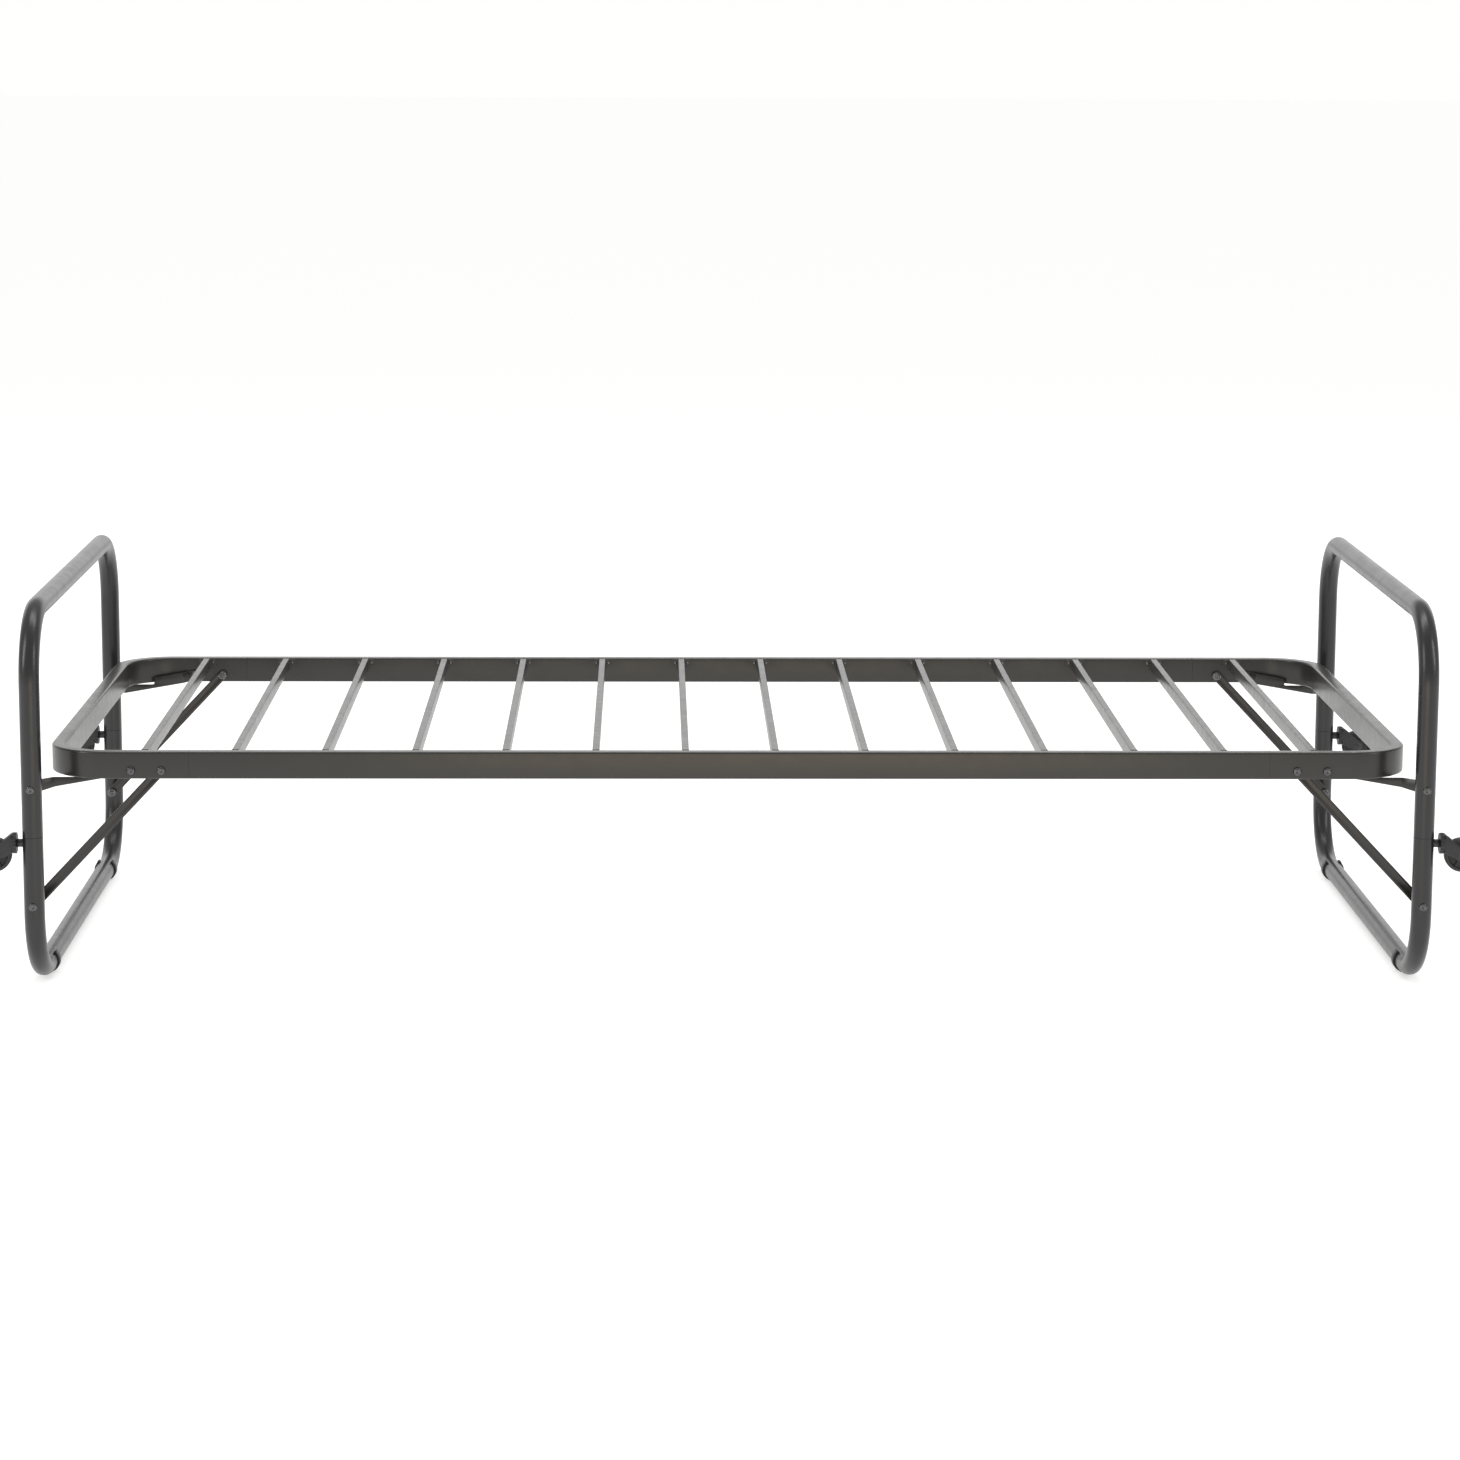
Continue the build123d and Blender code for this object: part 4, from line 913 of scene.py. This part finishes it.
# %% Links, braces and foot clips
STRIP_EDGE, CLIP_EDGE = 0.0005, 0.0006
for end_name in ENDS:
    for side_name in SIDES:
        corner = f"{end_name}_{side_name}"
        link = rounded_copy(f"upper_link_{corner}_strip", f"upper_link_{corner}", STRIP_EDGE)
        settle(link, f"links_{end_name}", "frame_paint", f"upper_link_{corner}")
        brace = rounded_copy(f"diagonal_brace_{corner}_strip", f"diagonal_brace_{corner}", STRIP_EDGE)
        settle(brace, f"braces_{end_name}", "frame_paint", f"diagonal_brace_{corner}")
    clips = rounded_copy(f"foot_clip_set_{end_name}", f"foot_clips_{end_name}", CLIP_EDGE)
    settle(clips, f"loop_{end_name}", "black_plastic", f"foot_clips_{end_name}")

# %% Castor stems and forks
STEM_EDGE, FORK_EDGE = 0.0003, 0.0004
for end_name in ENDS:
    stems = rounded_copy(f"castor_stem_set_{end_name}", f"castor_stems_{end_name}", STEM_EDGE)
    settle(stems, f"loop_{end_name}", "castor_steel", f"castor_stems_{end_name}")
    for side_name in SIDES:
        corner = f"{end_name}_{side_name}"
        fork = rounded_copy(f"castor_fork_{corner}_moulding", f"castor_fork_{corner}", FORK_EDGE)
        settle(fork, f"castor_{corner}", "black_plastic", f"castor_fork_{corner}")

# %% [markdown]
# ### Castor wheels
# A moulded castor wheel is a hub and a rim with thin webs between them. The tread is crowned, so that it
# rolls over the edge of a carpet, and a fine parting line runs round its middle, where the mould's halves
# met. The body is turned ring by ring; six ribs in each dish are boxes with sloping tops, set round the
# hub.

# %% The wheel's rings
WHEEL_HALF, WHEEL_RADIUS, HUB_RADIUS, WEB_HALF = 9.0, 25.0, 11.0, 4.0
DISH_RADIUS, RIB_COUNT, RIB_HALF = 20.0, 6, 0.9
SHOULDER, SHOULDER_STEPS = 4.0, (72, 54, 36, 18, 0)


def wheel_rings():
    """From one side to the other: bore, hub face, dish, rim and crowned tread, then the same mirrored."""
    side = [(4.1, -WHEEL_HALF + 0.4), (4.6, -WHEEL_HALF), (HUB_RADIUS - 0.8, -WHEEL_HALF),
            (HUB_RADIUS - 0.3, -WHEEL_HALF + 0.5), (HUB_RADIUS + 0.1, -WEB_HALF - 0.8),
            (HUB_RADIUS + 0.9, -WEB_HALF), (DISH_RADIUS - 0.9, -WEB_HALF), (DISH_RADIUS, -WEB_HALF - 0.8),
            (DISH_RADIUS + 0.2, -WHEEL_HALF + 0.5), (DISH_RADIUS + 0.7, -WHEEL_HALF),
            (WHEEL_RADIUS - SHOULDER, -WHEEL_HALF)]
    tread = [(WHEEL_RADIUS - SHOULDER * (1 - cos(radians(90 - step))),
              -WHEEL_HALF + SHOULDER * (1 - sin(radians(90 - step)))) for step in SHOULDER_STEPS]
    parting_line = [(WHEEL_RADIUS, -2.6), (WHEEL_RADIUS, -0.35), (WHEEL_RADIUS - 0.18, -0.12)]
    half = side + tread + parting_line
    return half + [(radius, -height) for radius, height in reversed(half)]


print("rings in a wheel:", len(wheel_rings()))


# %% A wheel with its ribs
RIB_QUADS = ((0, 1, 2, 3), (7, 6, 5, 4), (0, 4, 5, 1), (1, 5, 6, 2), (2, 6, 7, 3), (3, 7, 4, 0))
RIB_ENDS = ((HUB_RADIUS - 0.5, WHEEL_HALF - 1.0), (DISH_RADIUS + 0.4, WHEEL_HALF - 2.4))
RIB_FOOT, RIB_TOP, WHEEL_SEGMENTS = 1.15, 0.8, 72


def add_rib(points, faces, angle, turn):
    """A box with a sloping top in the dish of one side, at an angle round the hub."""
    out, across = Vector((cos(angle), 0, sin(angle))), Vector((-sin(angle), 0, cos(angle)))
    base, sunk = len(points), WEB_HALF - 0.5
    for radius, top in RIB_ENDS:
        for width, height in ((-RIB_FOOT, sunk), (RIB_FOOT, sunk), (RIB_TOP, top), (-RIB_TOP, top)):
            spot = out * radius + across * width * RIB_HALF + Vector((0, turn * height, 0))
            points.append(spot * MM)
    faces += [tuple(base + k for k in quad) for quad in RIB_QUADS]


def castor_wheel(name, centre):
    """A wheel on an axle along Y, with its ribs, as one mesh."""
    points, rings = [], wheel_rings()
    for radius, height in rings:
        for step in range(WHEEL_SEGMENTS):
            angle = 2 * pi * step / WHEEL_SEGMENTS
            points.append((radius * MM * cos(angle), height * MM, radius * MM * sin(angle)))
    faces = ring_walls(len(rings), WHEEL_SEGMENTS, closed=True)
    for rib in range(RIB_COUNT):
        for turn in (-1, 1):
            add_rib(points, faces, 2 * pi * rib / RIB_COUNT, turn)
    return close_up(mesh_object(name, [Vector(point) + centre for point in points], faces))


print("ribs in a wheel:", 2 * RIB_COUNT)


# %% The axle and its caps
CAP_SEGMENTS = 32


def axle_cap_set(name, centre, reach):
    """The axle with a domed cap at each end, on a line along Y."""
    rings = [(0.3, -reach - 0.15), (2.2, -reach), (4.4, -reach + 0.35), (5.5, -reach + 1.15),
             (5.5, -reach + 1.2), (4.0, -reach + 1.2)]
    rings += [(radius, -height) for radius, height in reversed(rings)]
    cap = turned(name, rings, CAP_SEGMENTS)
    for vertex in cap.data.vertices:
        x, y, z = vertex.co
        vertex.co = (x + centre.x, z + centre.y, -y + centre.z)
    return cap


print("a cap has", CAP_SEGMENTS, "segments")

# %% Wheels and axles in place
for end_name in ENDS:
    for side_name in SIDES:
        corner = f"{end_name}_{side_name}"
        hub_at = joint_at[f"wheel_spin_{corner}"]
        axle_low, axle_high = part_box(f"castor_axle_{corner}")
        caps = axle_cap_set(f"castor_axle_{corner}_caps", hub_at, (axle_high.y - axle_low.y) / 2 / MM)
        settle(caps, f"castor_{corner}", "castor_steel", f"castor_axle_{corner}")
        wheel = castor_wheel(f"castor_wheel_{corner}_body", hub_at)
        settle(wheel, f"wheel_{corner}", "castor_tread", f"castor_wheel_{corner}")
print("wheel faces:", len(wheel.data.polygons))
print("length of an axle in mm:", round((axle_high.y - axle_low.y) / MM, 1))

# %% [markdown]
# ### What stays as measured
# Only the inner sleeves of the legs are shown as they are. They sit out of sight, and their shape is exact,
# so they just get the bare steel.

# %% Sleeves
for end_name in ENDS:
    sleeve_slots = frame["nodes"][f"leg_sleeves_{end_name}"].data.materials
    if not sleeve_slots:
        sleeve_slots.append(drawn_steel)
    for index in range(len(sleeve_slots)):
        sleeve_slots[index] = drawn_steel
print("sleeves finished:", len(ENDS))

# %% [markdown]
# ## Floor and light
# The bed stands in a white sweep: a pale floor that glows a little, so that it stays even, and a soft room
# light. Dark glossy paint shows almost nothing but reflections, so the large panels matter more than the
# room. A long panel behind lights the tops of the bars at a grazing angle, an overhead panel draws the
# streak along the tubes, and two tall side panels round off the legs. A low warm card in front gives the
# rails their brownish middle.

# %% Floor and room light
FLOOR_HALF, FLOOR_GREY, FLOOR_ROUGHNESS, FLOOR_GLOW = 60.0, 0.8, 0.9, 0.52
ROOM_LIGHT, ROOM_SEEN = 0.58, 1.0
floor_corners = [(-FLOOR_HALF, -FLOOR_HALF, 0), (FLOOR_HALF, -FLOOR_HALF, 0),
                 (FLOOR_HALF, FLOOR_HALF, 0), (-FLOOR_HALF, FLOOR_HALF, 0)]
floor = mesh_object("studio_floor", floor_corners, [(0, 1, 2, 3)])
floor_material, _, floor_shader = new_material("studio_floor", level=0.0)
floor_shader.inputs["Base Color"].default_value = (FLOOR_GREY, FLOOR_GREY, FLOOR_GREY, 1)
floor_shader.inputs["Roughness"].default_value = FLOOR_ROUGHNESS
floor_shader.inputs["Emission Color"].default_value = (1.0, 0.997, 0.99, 1)
floor_shader.inputs["Emission Strength"].default_value = FLOOR_GLOW
floor.data.materials.append(floor_material)
world = bpy.data.worlds.new("studio")
world.use_nodes = True
room = world.node_tree
room_seen = place(room, "ShaderNodeLightPath")
room_strength = remap(room, room_seen.outputs["Is Camera Ray"], 0.0, 1.0, ROOM_LIGHT, ROOM_SEEN)
room.links.new(room_strength, room.nodes["Background"].inputs["Strength"])
room.nodes["Background"].inputs["Color"].default_value = (1.0, 0.998, 0.995, 1)
bpy.context.scene.world = world
bpy.context.scene.view_settings.view_transform = "Standard"
print("floor edge in m:", 2 * FLOOR_HALF, "room light:", ROOM_LIGHT)


# %% Light panels
def panel(name, at, aim, width, height, power, colour=(1, 1, 1)):
    """A soft rectangular light that the camera doesn't see."""
    light = bpy.data.lights.new(name, "AREA")
    light.shape = "RECTANGLE"
    light.size, light.size_y, light.energy, light.color = width, height, power, colour
    lamp = bpy.data.objects.new(name, light)
    lamp.location = at
    lamp.rotation_euler = (Vector(aim) - Vector(at)).to_track_quat("-Z", "Y").to_euler()
    lamp.visible_camera = False
    bpy.context.scene.collection.objects.link(lamp)


panel("back_panel", (0, 7.5, 2.4), (0, 0, 0.4), 15.0, 3.6, 150)
panel("top_panel", (0, 0.3, 4.2), (0, 0, 0.3), 3.6, 1.2, 60)
panel("left_panel", (-4.2, -2.2, 2.6), (-0.9, 0, 0.5), 0.9, 2.6, 60)
panel("right_panel", (4.2, -2.2, 2.6), (0.9, 0, 0.5), 0.9, 2.6, 50)
panel("warm_card", (0.15, -2.7, 0.16), (0.15, 0, 0.33), 1.5, 0.35, 5, (1.0, 0.78, 0.45))
